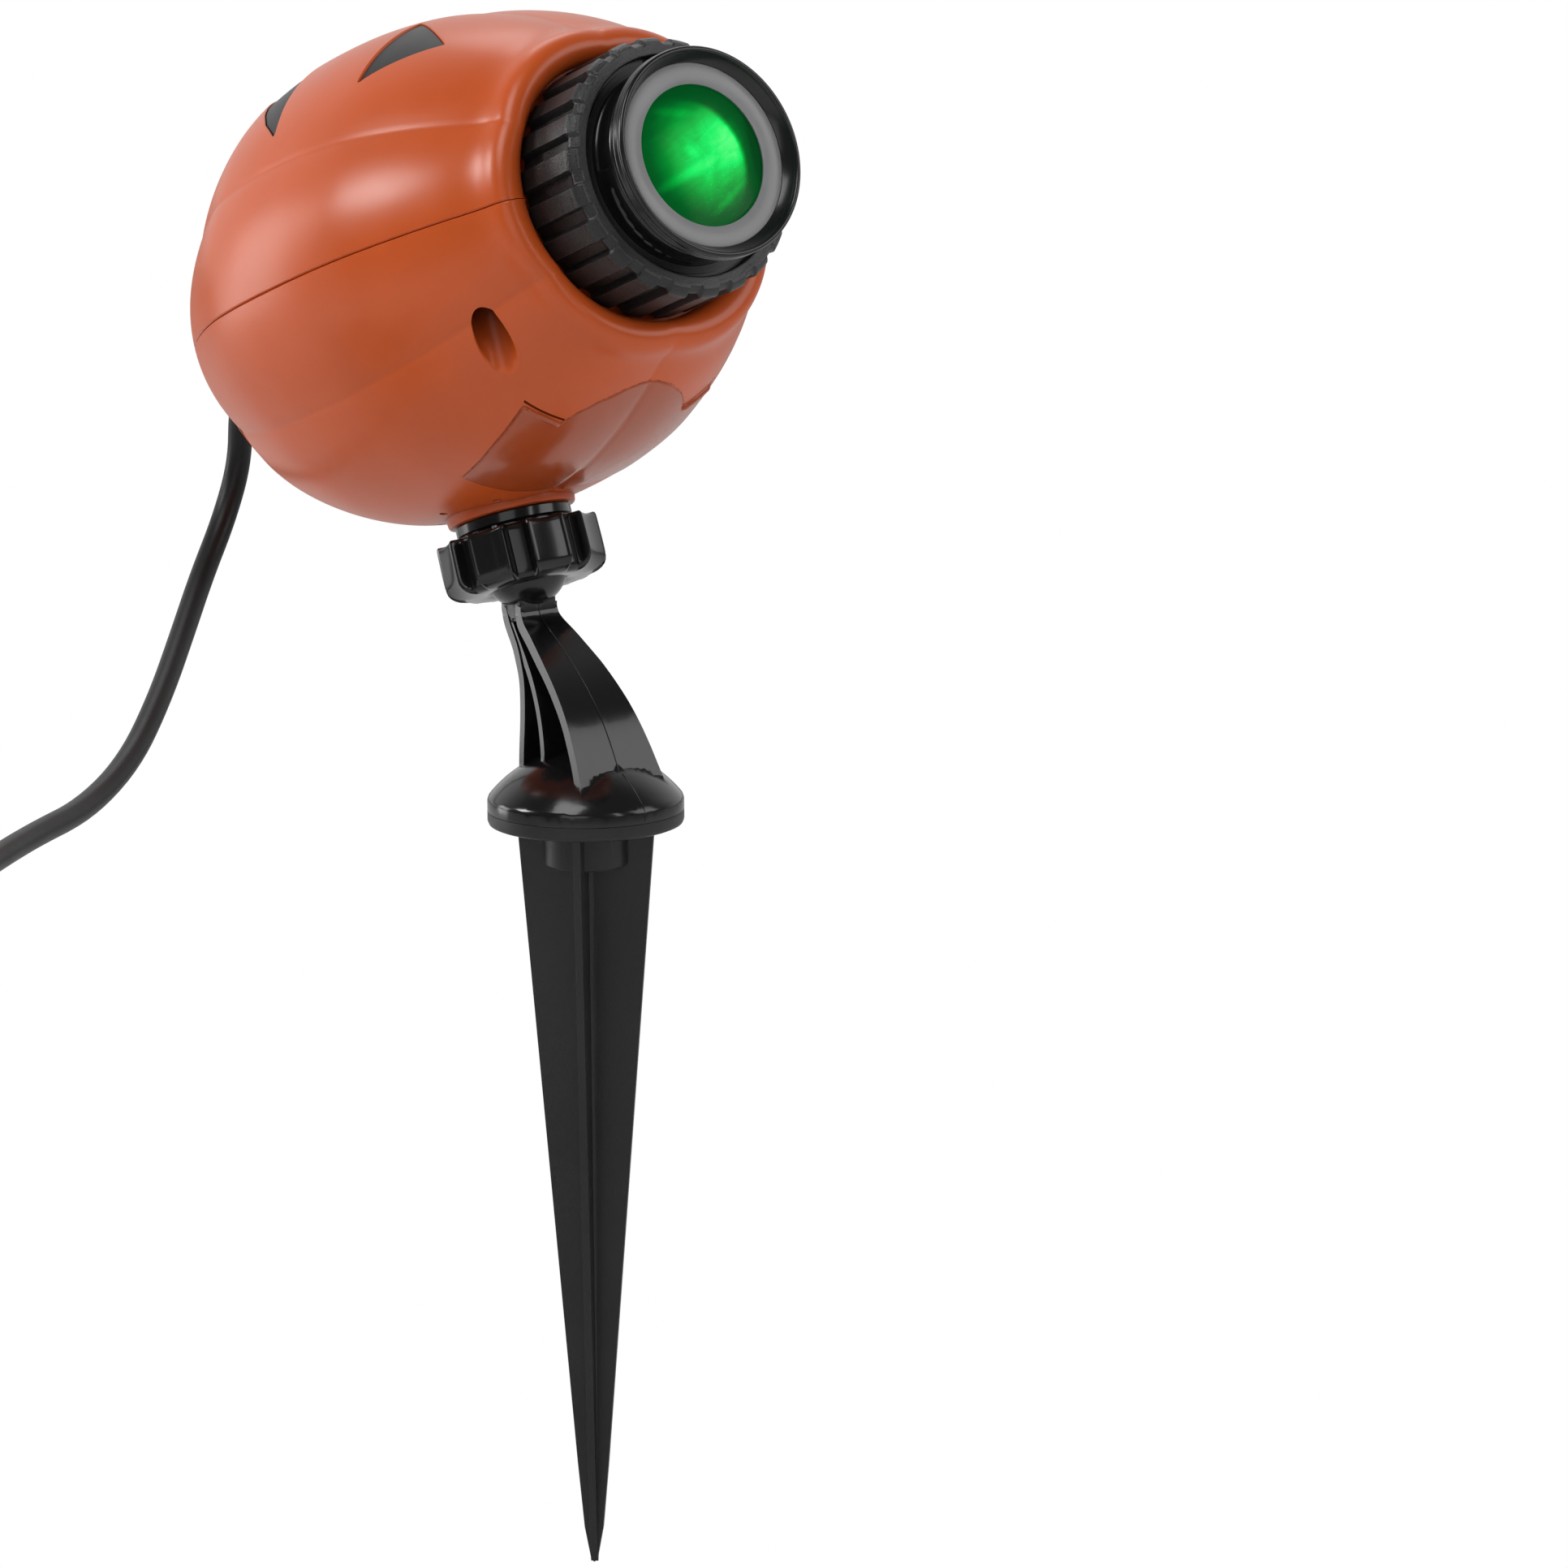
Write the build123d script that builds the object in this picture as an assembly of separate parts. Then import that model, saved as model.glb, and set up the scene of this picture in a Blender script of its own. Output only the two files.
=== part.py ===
from build123d import *
import math
import os

# Pumpkin-shaped garden light projector on a ground stake.
#
# Frame: millimetres, +Z up.  The origin is on the stake axis at the underside of the stake's round flange, which is
# the soil line once the stake is pushed in.  The lens looks towards -Y and tips upwards.  The model is
# symmetric about X = 0 except for the supply cord, its coil and its plug.
#
# Head frame: the head is drawn level about its own centre, with its optical axis along -Y, and is then tipped back
# about the X axis and carried to HEAD_CENTRE.  "s" is the distance along the optical axis, so y = -s.

# ---------------------------------------------------------------- driving dimensions
FLANGE_R = 25.0          # both round flanges
STAKE_FLANGE_T = 3.7     # thickness of the stake's own flange
STAKE_LENGTH = 195.2     # flange underside to the tip
FIN_TOP_W = 35.2         # span over two fins at the top
FIN_T = 1.9              # fin thickness
CORE_TOP_R = 2.7         # thicker core where the fins cross
COLLAR_R = 10.8          # socket collar below the flange
COLLAR_H = 10.7
PEG_R = 6.0              # bracket peg
PEG_L = 12.0
PEG_GAP = 0.08

DOME_RIM_Z = 6.9         # top of the straight rim of the bracket's flange
DOME_H = 12.3            # height of the dome above that rim

TILT_DEG = 21.54         # how far the head is tipped back at rest
HEAD_CENTRE = (0.0, 52.19, 134.53)
SOCKET_Y = 1.0           # socket axis, in the head frame
BALL_DROP = 76.0         # ball centre below the head's axis, in the head frame
BALL_R = 11.5
BALL_GAP = 0.10

# outer profile over the crown of a lobe: (s, radius)
PROFILE = [(-70.5, 20.0), (-69.9, 27.0), (-68.0, 33.0), (-64.5, 38.5), (-59.2, 43.5), (-51.8, 48.8), (-44.2, 53.0),
           (-36.6, 56.5), (-29.0, 59.4), (-21.2, 61.6), (-13.5, 62.8), (-5.8, 63.5), (1.9, 63.7), (9.7, 63.6),
           (17.6, 63.2), (26.0, 62.3), (34.6, 60.9), (43.3, 58.6), (52.4, 55.5), (62.4, 51.6), (73.0, 47.4), (79.0, 44.6)]
LOBE_OFFSET = 9.0        # each lobe turns about an axis this far off centre, which makes the creases
LOBES = 6                # creases at 30, 90 and 150 degrees; the shells part along two crowns
WALL = 4.2               # from a lobe's crown to the inside face

LIP_S = 84.0             # front of the shell's rounded lip
OPENING_R = 34.0         # opening that the focus ring turns in
WALL_FRONT_S = (74.5, 77.5)   # inner wall behind the focus ring
WALL_REAR_S = (67.4, 70.9)    # second wall that traps the guide tube's flange

GLAND_TIP_S = -88.0
GLAND_BASE_R = 17.0
GLAND_TIP_R = 7.2
CORD_D = 6.5
CORD_BORE_R = 3.25

SCREW_XY = [(-39.0, -62.5), (39.0, -62.5), (-37.0, 55.5), (37.0, 55.5)]   # head frame x, y
RECESS_R = 4.4
RECESS_TOP_Z = -10.0

RING_S = (78.0, 102.3)   # focus ring, back to front
RING_R = 31.3
RIB_R = 33.0
RIBS = 22
RING_BORE_R = 27.08
TUBE_R = (25.08, 27.0)   # guide tube, inside and outside
TUBE_S = (44.0, 99.8)
BARREL_R = 25.0
BARREL_IN_R = 22.6
RIM_S = (110.3, 114.9)
RIM_R = 26.9
GREY_RING_S = (110.3, 111.4)
GREY_RING_R = (18.1, 23.5)
LENS_R = 22.5

SPIGOT_R = 13.2
NUT_BORE_R = 13.45
NUT_Z = (-82.3, -67.5)
NUT_CORE_R = 17.7
NUT_LOBE_R = 21.2
NUT_LOBE_W = 10.4
NUT_PHASE = 31.5
NUT_OPEN_R = 9.7

COIL_MEAN_R = 38.8
COIL_W = 27.2
COIL_H = 13.2
TIE_T, TIE_W, TIE_ANGLE = 1.2, 8.0, 62.0    # strap round the coil: thickness, width, place round the coil
COIL_CENTRE = (-208.0, 60.0)
PLUG_PLACE = (-256.1, 124.8)      # middle of the plug's body, beside the coil; its pins point along +Y
PLUG_RELIEF_L = 30.0

os.makedirs("parts", exist_ok=True)


# ---------------------------------------------------------------- helpers
def save(shape, name):
    solids = shape.solids()
    out = solids[0] if len(solids) == 1 else Compound(children=list(solids))
    out.label = name
    export_step(out, "parts/" + name + ".step")


def turn_s(points):
    """Solid of revolution about the optical axis from a closed (s, radius) polygon."""
    face = make_face(Polyline([(r, -s, 0) for s, r in points], close=True))
    return revolve(face, Axis.Y, 360)


def tube_s(s0, s1, r_in, r_out):
    if r_in <= 0:
        return turn_s([(s0, 0), (s1, 0), (s1, r_out), (s0, r_out)])
    return turn_s([(s0, r_in), (s1, r_in), (s1, r_out), (s0, r_out)])


def turn_z(points, x=0.0, y=0.0):
    """Solid of revolution about the vertical through (x, y) from a closed (radius, z) polygon."""
    face = make_face(Polyline([(r, 0, z) for r, z in points], close=True))
    return Pos(x, y, 0) * revolve(face, Axis.Z, 360)


def cyl(x, y, z0, z1, r):
    return Pos(x, y, (z0 + z1) / 2) * Cylinder(r, z1 - z0)


def block(x0, x1, y0, y1, z0, z1):
    return Pos((x0 + x1) / 2, (y0 + y1) / 2, (z0 + z1) / 2) * Box(x1 - x0, y1 - y0, z1 - z0)


def to_world(shape):
    return Pos(*HEAD_CENTRE) * (Rot(-TILT_DEG, 0, 0) * shape)


def world_point(p):
    c, s = math.cos(math.radians(TILT_DEG)), math.sin(math.radians(TILT_DEG))
    return (HEAD_CENTRE[0] + p[0], HEAD_CENTRE[1] + c * p[1] + s * p[2], HEAD_CENTRE[2] - s * p[1] + c * p[2])


def lobed_half(drop, top, tail=0.0):
    """Half of the closed lobed body, its surface lowered by drop everywhere."""
    pts = [(s * (1 - drop / 78.0), r - drop - LOBE_OFFSET) for s, r in PROFILE]
    spline = Spline([(r, -s, 0) for s, r in pts])
    s0, r0 = pts[0]
    s1, r1 = pts[-1]
    outline = [spline, Line((r1, -s1, 0), (0, -s1, 0)), Line((0, -s1, 0), (0, -s0, 0)), Line((0, -s0, 0), (r0, -s0, 0))]
    lobe = revolve(make_face(Wire(outline)), Axis.Y, 360)
    half = None
    step = 360.0 / LOBES
    cuts = [0.0] + [step * (k + 0.5) for k in range(LOBES // 2)] + [180.0]
    for k in range(LOBES // 2 + 1):
        sign = 1 if top else -1
        a = math.radians(step * k) * sign
        lo, hi = math.radians(cuts[k]) * sign, math.radians(cuts[k + 1]) * sign
        big = 120.0
        tri = make_face(Polyline([(0, 0, 0), (big * math.cos(lo), 0, big * math.sin(lo)),
                                  (big * math.cos(hi), 0, big * math.sin(hi))], close=True))
        wedge = extrude(tri, 100, dir=(0, 1, 0), both=True)
        piece = (Pos(LOBE_OFFSET * math.cos(a), 0, LOBE_OFFSET * math.sin(a)) * lobe) & wedge
        half = piece if half is None else half + piece
    return half


def prism(outline, z0, z1):
    return extrude(Pos(0, 0, z0) * make_face(outline), z1 - z0)


# ================================================================ ground stake
def make_stake():
    t = STAKE_FLANGE_T
    disc = turn_z([(0, 0), (FLANGE_R - 1.3, 0), (FLANGE_R - 0.35, 0.4), (FLANGE_R, 1.3), (FLANGE_R, t), (0, t)])
    collar = turn_z([(0, -COLLAR_H), (COLLAR_R - 0.6, -COLLAR_H), (COLLAR_R, -COLLAR_H + 0.6), (COLLAR_R, 0), (0, 0)])
    stake = disc + collar
    half = FIN_TOP_W / 2
    outline = [(half, 0), (half - 0.0806 * 168.5, -168.5), (2.4, -186.0), (0.95, -193.7), (0.25, -STAKE_LENGTH),
               (-0.25, -STAKE_LENGTH), (-0.95, -193.7), (-2.4, -186.0), (-half + 0.0806 * 168.5, -168.5), (-half, 0)]
    fin = make_face(Polyline([(x, 0, z) for x, z in outline], close=True))
    fin = extrude(fin, FIN_T / 2, dir=(0, 1, 0), both=True)
    core = turn_z([(0, 0), (CORE_TOP_R, 0), (CORE_TOP_R, -10), (1.3, -180), (0.25, -STAKE_LENGTH), (0, -STAKE_LENGTH)])
    for angle in (45, 135):
        stake += Rot(0, 0, angle) * fin
    stake += core
    # square shoulders: the fins stop at the flange, and the socket for the bracket's peg opens upwards
    stake -= cyl(0, 0, t - PEG_L - 0.6, t + 1, PEG_R + PEG_GAP)
    return stake


# ================================================================ bracket: dome flange, arm, neck, ball and peg
ARM_FRONT = [(54.0, 18.9), (52.0, 18.8), (50.4, 17.8), (48.0, 14.7), (44.0, 9.4), (40.0, 4.4), (36.0, 0.0), (32.0, -3.8),
             (28.0, -7.0), (24.0, -9.6), (20.0, -11.9), (16.0, -13.9), (12.0, -15.8), (7.5, -17.8)]
ARM_BACK = [(54.0, 27.3), (51.5, 27.1), (50.0, 26.3), (48.0, 24.7), (44.0, 20.7), (40.0, 17.6), (36.0, 15.4), (32.0, 14.1),
            (28.0, 13.3), (24.0, 12.7), (20.0, 12.3), (16.0, 11.8), (12.0, 11.2), (7.5, 10.5)]
ARM_MID = [(54.0, 23.6), (51.5, 23.5), (50.0, 22.7), (48.0, 20.9), (44.0, 16.8), (40.0, 13.0), (36.0, 9.9), (32.0, 7.4),
           (28.0, 5.4), (24.0, 3.8), (20.0, 2.6), (16.0, 1.7), (12.0, 1.0), (7.5, 0.4)]
ARM_HALF_W = [(56.0, 5.6), (51.0, 5.9), (46.0, 7.3), (40.0, 8.8), (32.0, 10.2), (24.0, 11.4), (16.0, 12.5), (7.5, 13.8)]


def offset_curve(curve, d):
    """The same (z, y) curve moved by d along its own normal, towards +Y for positive d."""
    out = []
    for i, (z, y) in enumerate(curve):
        z0, y0 = curve[max(i - 1, 0)]
        z1, y1 = curve[min(i + 1, len(curve) - 1)]
        dz, dy = z1 - z0, y1 - y0
        n = math.hypot(dz, dy)
        out.append((z + dy / n * d, y - dz / n * d))
    return out


def plate(curve, thickness, half_width_factor):
    """A curved plate of the arm: its outer face follows curve, and its width follows the arm's side outline."""
    inner = offset_curve(curve, thickness)
    a = Spline([(0, y, z) for z, y in curve])
    b = Spline([(0, y, z) for z, y in reversed(inner)])
    outline = Wire([a, Line(a @ 1, b @ 0), b, Line(b @ 1, a @ 0)])
    slab = extrude(make_face(outline), 20, dir=(1, 0, 0), both=True)
    side = [(w * half_width_factor, 0, z) for z, w in ARM_HALF_W]
    face = make_face(Polyline(side + [(-x, 0, z) for x, _, z in reversed(side)], close=True))
    return slab & extrude(face, 60, dir=(0, 1, 0), both=True)


def make_bracket():
    z0, rim, h = STAKE_FLANGE_T, DOME_RIM_Z, DOME_H
    r_s = (FLANGE_R ** 2 + h ** 2) / (2 * h)
    n = 14
    dome = [(0, z0), (FLANGE_R - 0.15, z0), (FLANGE_R, z0 + 0.15), (FLANGE_R, rim - 0.5)]
    arc = [(r_s * math.sin(t), rim + h - r_s + r_s * math.cos(t))
           for t in [math.asin((FLANGE_R - 0.35) / r_s) * (1 - k / n) for k in range(n + 1)]]
    top = Spline([(x, 0, z) for x, z in arc])
    low = Polyline([(x, 0, z) for x, z in [(0, z0)] + dome[1:] + [arc[0]]])
    body = revolve(make_face(Wire([*low.edges(), top, Line(top @ 1, (0, 0, z0))])), Axis.Z, 360)
    # the moulding is hollow under the dome
    inner_r = FLANGE_R - 3.0
    hollow = turn_z([(PEG_R + 2.2, z0 - 1), (inner_r, z0 - 1), (inner_r, rim - 0.5), (inner_r - 5.5, rim + 3.0),
                     (PEG_R + 2.2, rim + 6.8)])
    body -= hollow
    body += plate(ARM_FRONT, 2.3, 1.0)
    body += plate(ARM_BACK, -1.9, 0.97)
    body += plate(ARM_MID, 1.5, 0.92)
    a = Spline([(0, y, z) for z, y in offset_curve(ARM_FRONT, 0.6)])
    b = Spline([(0, y, z) for z, y in reversed(offset_curve(ARM_BACK, -0.6))])
    web = extrude(make_face(Wire([a, Line(a @ 1, b @ 0), b, Line(b @ 1, a @ 0)])), 1.3, dir=(1, 0, 0), both=True)
    body += web
    ball = world_point((0, SOCKET_Y, -BALL_DROP))
    neck = block(-5.6, 5.6, 18.9, 27.3, 49.6, ball[2] - 4.0)
    neck = fillet(neck.edges().filter_by(Axis.Z), 0.8)
    body += neck
    body += Pos(*ball) * Sphere(BALL_R)
    body += turn_z([(0, z0 - PEG_L), (PEG_R - 0.8, z0 - PEG_L), (PEG_R, z0 - PEG_L + 0.8), (PEG_R, z0 + 0.5), (0, z0 + 0.5)])
    return body


# ================================================================ head shells
def lip(top):
    """Rounded lip round the front opening, half of it."""
    pts = [(70.0, 49.3), (75.0, 47.1), (78.5, 45.6), (81.4, 43.9), (83.3, 41.8), (84.0, 39.4), (83.6, 37.2), (82.2, 35.4),
           (80.0, 34.3)]
    curve = Spline([(r, -s, 0) for s, r in pts])
    (s0, r0), (s1, r1) = pts[0], pts[-1]
    outline = Wire([curve, Line((r1, -s1, 0), (OPENING_R, -s1, 0)), Line((OPENING_R, -s1, 0), (OPENING_R, -s0, 0)),
                    Line((OPENING_R, -s0, 0), (r0, -s0, 0))])
    return revolve(make_face(outline), Axis.Y, 360) & half_space(top)


def half_space(top):
    return block(-150, 150, -150, 150, 0, 150) if top else block(-150, 150, -150, 150, -150, 0)


def gland(top):
    """Half of the cone-shaped cord gland with its pockets."""
    base = -66.0
    cone = turn_s([(base, 0), (base, 17.6), (-70.5, GLAND_BASE_R), (GLAND_TIP_S + 3.0, GLAND_TIP_R + 0.9),
                   (GLAND_TIP_S, GLAND_TIP_R), (GLAND_TIP_S, 0)])
    sign = 1 if top else -1
    # pockets between the ring ribs and the long ribs
    for s_mid, width in ((-73.6, 3.2), (-78.4, 3.2), (-83.0, 2.8)):
        r_out = 30.0
        r_in = 5.6 + (s_mid - GLAND_TIP_S) * 0.22
        ring = tube_s(s_mid - width / 2, s_mid + width / 2, r_in, r_out)
        keep = (block(-1.0, 1.0, 50, 100, -40, 40) + block(-40, 40, 50, 100, -1.3, 1.3))
        cone -= ring - keep
    cone = cone & half_space(top)
    return cone


INSET = 1.9              # depth of the openings for the black face pieces
FACE_DROP = 0.35         # how far the black pieces lie below the orange surface
EYE = [(-41.2, -34.2), (-15.8, -31.8), (-27.1, -55.0)]
NOSE = [(0.0, -22.8), (9.1, -8.4), (-9.1, -8.4)]
MOUTH = [(-48.5, -4.1), (-41.0, -1.4), (-33.0, 1.0), (-22.0, 3.9), (-22.0, 14.6), (-15.7, 14.9), (-15.7, 5.2), (-8.0, 6.3),
         (0.0, 7.1), (8.0, 6.3), (15.7, 5.2), (22.0, 3.9), (33.0, 1.0), (41.0, -1.4), (48.5, -4.1), (43.9, 4.8), (39.0, 11.2),
         (32.5, 17.9), (22.1, 24.9), (22.1, 21.7), (15.6, 21.6), (15.6, 28.3), (8.0, 30.2), (0.0, 31.2), (-8.0, 30.2),
         (-15.6, 28.3), (-25.0, 23.3), (-32.5, 17.9), (-39.0, 11.2), (-43.9, 4.8)]
COVER = [(-28.8, -21.7), (-15.0, -20.4), (0.0, -19.9), (15.0, -20.4), (28.8, -21.7), (29.9, -38.0), (29.6, -55.2),
         (19.6, -54.4), (16.0, -60.5), (11.0, -66.0), (5.0, -70.9), (0.0, -72.6), (-5.0, -70.9), (-11.0, -66.0),
         (-16.0, -60.5), (-19.6, -54.4), (-29.6, -55.2), (-29.9, -38.0)]


def shrink(points, d):
    """Move a closed outline inwards by d."""
    area = sum(points[i][0] * points[(i + 1) % len(points)][1] - points[(i + 1) % len(points)][0] * points[i][1]
               for i in range(len(points)))
    sign = 1 if area > 0 else -1
    out = []
    n = len(points)
    for i in range(n):
        (x0, y0), (x1, y1), (x2, y2) = points[i - 1], points[i], points[(i + 1) % n]
        a, b = math.hypot(x1 - x0, y1 - y0), math.hypot(x2 - x1, y2 - y1)
        n1 = (-(y1 - y0) / a * sign, (x1 - x0) / a * sign)
        n2 = (-(y2 - y1) / b * sign, (x2 - x1) / b * sign)
        k = 1 + n1[0] * n2[0] + n1[1] * n2[1]
        k = max(k, 0.35)
        out.append((x1 + (n1[0] + n2[0]) / k * d, y1 + (n1[1] + n2[1]) / k * d))
    return out


def outline_face(points):
    return make_face(Polyline([(x, y, 0) for x, y in points], close=True))


def column(points, z0, z1):
    return extrude(Pos(0, 0, z0) * outline_face(points), z1 - z0)


def mirror_x(points):
    return [(-x, y) for x, y in reversed(points)]


def make_head():
    out_top, out_bot = lobed_half(0, True), lobed_half(0, False)
    floor_top, floor_bot = lobed_half(INSET, True), lobed_half(INSET + 0.4, False)
    skin_top, skin_bot = lobed_half(FACE_DROP, True), lobed_half(0.05, False)

    cavity_pts = [(s * 0.945, r - WALL) for s, r in PROFILE if s < 66]
    cavity = [(cavity_pts[0][0], 0)] + cavity_pts + [(WALL_REAR_S[0], cavity_pts[-1][1] - 1.2), (WALL_REAR_S[0], 0)]
    cavity = turn_s(cavity)
    groove = tube_s(WALL_REAR_S[1], WALL_FRONT_S[0], 0, 39.0)
    through = tube_s(WALL_REAR_S[0] - 1, 90, 0, TUBE_R[1] + 0.06)
    mouth_bore = tube_s(WALL_FRONT_S[1], 90, 0, OPENING_R)
    cord_bore = tube_s(-95, -60, 0, CORD_BORE_R)

    def half_shell(outer, top):
        solid = outer + lip(top)
        solid -= cavity
        solid -= groove
        solid -= through
        solid -= mouth_bore
        solid += gland(top)
        solid -= cord_bore
        return solid

    # ---- top shell
    top = half_shell(out_top, True)
    pieces = {}
    faces = {"left_eye_inlay": EYE, "right_eye_inlay": mirror_x(EYE), "nose_inlay": NOSE, "mouth_inlay": MOUTH}
    for name, pts in faces.items():
        pocket = (column(pts, 15, 90) & out_top) - floor_top
        top -= pocket
        pieces[name] = (column(shrink(pts, 0.18), 15, 90) & skin_top) - floor_top
    for x, y in SCREW_XY:
        post = cyl(x, y, 0, 45, 4.2) & out_top
        top += post
        top -= cyl(x, y, -1, 14.5, 1.65)

    # ---- bottom shell
    bot = half_shell(out_bot, False)
    pocket = (column(COVER, -90, -15) & out_bot) - floor_bot
    bot -= pocket
    pieces["bottom_cover"] = (column(shrink(COVER, 0.2), -90, -15) & skin_bot) - floor_bot
    for x, y in SCREW_XY:
        post = cyl(x, y, -45, 0, 6.0) & out_bot
        bot += post
        bot -= cyl(x, y, -60, RECESS_TOP_Z, RECESS_R)
        bot -= cyl(x, y, RECESS_TOP_Z - 1, 1, 1.65)
    pad = cyl(0, SOCKET_Y, -63.5, -57.0, 16.5)
    bot += pad
    bot -= cyl(0, SOCKET_Y, -64, -56, 8.05)
    bot -= cyl(0, SOCKET_Y, -70, -63.5, 17.2)
    for k in range(3):
        a = math.radians(90 + 120 * k)
        bot -= cyl(11.3 * math.cos(a), SOCKET_Y + 11.3 * math.sin(a), -64, -56, 1.3)
    # two posts and a saddle for the cord clamp, and two posts for the driver board
    for x in (-9.0, 9.0):
        post = cyl(x, 56.0, -60, -3.25, 3.0) & out_bot
        bot += post
        bot -= cyl(x, 56.0, -14, -3.0, 1.1)
    bot += (block(-6.0, 6.0, 53.2, 58.8, -60, -1.0) & out_bot) - tube_s(-66, -45, 0, CORD_BORE_R)
    for x in (-15.0, 15.0):
        for y in (20.0, 42.0):
            bot += cyl(x, y, -58, -34.0, 2.6) & out_bot
            bot -= cyl(x, y, -44, -33.0, 1.0)
    bot -= cord_bore
    pieces["top_shell"], pieces["bottom_shell"] = top, bot

    # ---- housing screws: pan head in the recess, shank up into the top shell
    screws = [cyl(x, y, RECESS_TOP_Z - 2.3, RECESS_TOP_Z, 3.2) + cyl(x, y, RECESS_TOP_Z, 14.0, 1.65)
              - block(x - 2.0, x + 2.0, y - 0.4, y + 0.4, RECESS_TOP_Z - 3, RECESS_TOP_Z - 1.1)
              - block(x - 0.4, x + 0.4, y - 2.0, y + 2.0, RECESS_TOP_Z - 3, RECESS_TOP_Z - 1.1) for x, y in SCREW_XY]
    pieces["housing_screws"] = Compound(children=screws)

    # ---- ball socket: disc on the pad, threaded spigot below, spherical seat inside
    ball_z = -BALL_DROP
    socket = turn_z([(0, -60.0), (8.0, -60.0), (8.0, -63.5), (14.5, -63.5), (15.0, -64.0), (15.0, -66.2), (14.6, -66.6),
                     (12.4, -66.6), (12.4, -67.3), (SPIGOT_R, -68.0), (SPIGOT_R, -77.2), (SPIGOT_R - 0.5, -77.7), (0, -77.7)],
                    0, SOCKET_Y)
    socket -= Pos(0, SOCKET_Y, ball_z) * Sphere(BALL_R + BALL_GAP)
    socket -= cyl(0, SOCKET_Y, -79, ball_z, BALL_R + BALL_GAP)
    for k in range(3):
        a = math.radians(90 + 120 * k)
        socket -= cyl(11.3 * math.cos(a), SOCKET_Y + 11.3 * math.sin(a), -68.6, -63, 1.3)
    pieces["ball_socket"] = socket
    pins = [cyl(11.3 * math.cos(math.radians(90 + 120 * k)), SOCKET_Y + 11.3 * math.sin(math.radians(90 + 120 * k)), -57.0, -55.0, 2.5)
            + cyl(11.3 * math.cos(math.radians(90 + 120 * k)), SOCKET_Y + 11.3 * math.sin(math.radians(90 + 120 * k)), -68.4, -57.0, 1.3)
            for k in range(3)]
    pieces["socket_screws"] = Compound(children=pins)

    # ---- clamp nut
    nz0, nz1 = NUT_Z
    nut = turn_z([(0, nz0), (NUT_CORE_R - 1.6, nz0), (NUT_CORE_R - 0.4, nz0 + 0.6), (NUT_CORE_R, nz0 + 2.2),
                  (NUT_CORE_R, nz1 - 0.5), (NUT_CORE_R - 0.5, nz1), (0, nz1)], 0, SOCKET_Y)
    lobe_env = turn_z([(12, nz0 + 0.1), (NUT_LOBE_R - 3.9, nz0 + 0.1), (NUT_LOBE_R - 2.0, nz0 + 0.75), (NUT_LOBE_R - 0.7, nz0 + 2.0),
                       (NUT_LOBE_R - 0.1, nz0 + 4.0), (NUT_LOBE_R, nz0 + 5.0), (NUT_LOBE_R, nz1 - 0.3), (NUT_LOBE_R - 0.3, nz1),
                       (12, nz1)], 0, SOCKET_Y)
    bars = None
    for k in range(8):
        bar = Pos(0, SOCKET_Y, 0) * (Rot(0, 0, NUT_PHASE + 45 * k) * block(12, 30, -NUT_LOBE_W / 2, NUT_LOBE_W / 2, nz0 - 1, nz1 + 1))
        bars = bar if bars is None else bars + bar
    nut += lobe_env & bars
    nut -= cyl(0, SOCKET_Y, -78.0, nz1 + 1, NUT_BORE_R)
    nut -= Pos(0, SOCKET_Y, ball_z) * Sphere(BALL_R + BALL_GAP)
    nut -= turn_z([(0, nz0 - 1), (NUT_OPEN_R + 2.2, nz0 - 1), (NUT_OPEN_R, nz0 + 1.0), (NUT_OPEN_R, nz0 + 1.6), (0, nz0 + 1.6)], 0, SOCKET_Y)
    pieces["clamp_nut"] = nut

    # ---- focus ring, guide tube, snap ring
    r0, r1 = RING_S
    ring = turn_s([(r0, RING_BORE_R), (r0, RING_R), (r1 - 1.2, RING_R), (r1 - 0.3, RING_R - 0.7), (r1, RING_R - 1.2),
                   (r1, 29.7), (r1 - 0.4, 29.3), (97.9, 29.3), (97.9, RING_BORE_R)])
    ribs = None
    for k in range(RIBS):
        bar = Rot(0, 360.0 / RIBS * k, 0) * block(RING_R - 1.0, RIB_R, -(r1 - 1.6), -(r0 + 0.5), -1.9, 1.9)
        ribs = bar if ribs is None else ribs + bar
    ring += ribs & tube_s(r0, r1, RING_R - 1.0, RIB_R)
    pieces["focus_ring"] = ring
    tube = tube_s(TUBE_S[0], TUBE_S[1], TUBE_R[0], TUBE_R[1]) + tube_s(71.0, 74.4, TUBE_R[1] - 0.5, 35.0)
    pieces["guide_tube"] = tube
    snap = tube_s(98.0, 99.4, TUBE_R[1], 29.0) - block(-2.5, 2.5, -110, -90, 20, 40)
    pieces["ring_retainer"] = snap

    # ---- lens barrel with its glass
    barrel = turn_s([(60.0, BARREL_IN_R), (60.0, BARREL_R), (RIM_S[0] - 0.9, BARREL_R), (RIM_S[0], RIM_R - 0.5), (RIM_S[0] + 0.6, RIM_R),
                     (RIM_S[1] - 0.9, RIM_R), (RIM_S[1], RIM_R - 0.8), (RIM_S[1], RIM_R - 1.2), (RIM_S[1] - 0.6, RIM_R - 1.7),
                     (GREY_RING_S[1] + 0.1, GREY_RING_R[1]), (GREY_RING_S[0], GREY_RING_R[1]), (GREY_RING_S[0], BARREL_IN_R)])
    pieces["lens_barrel"] = barrel
    pieces["lens_retaining_ring"] = tube_s(GREY_RING_S[0], GREY_RING_S[1], GREY_RING_R[0], GREY_RING_R[1])

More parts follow.
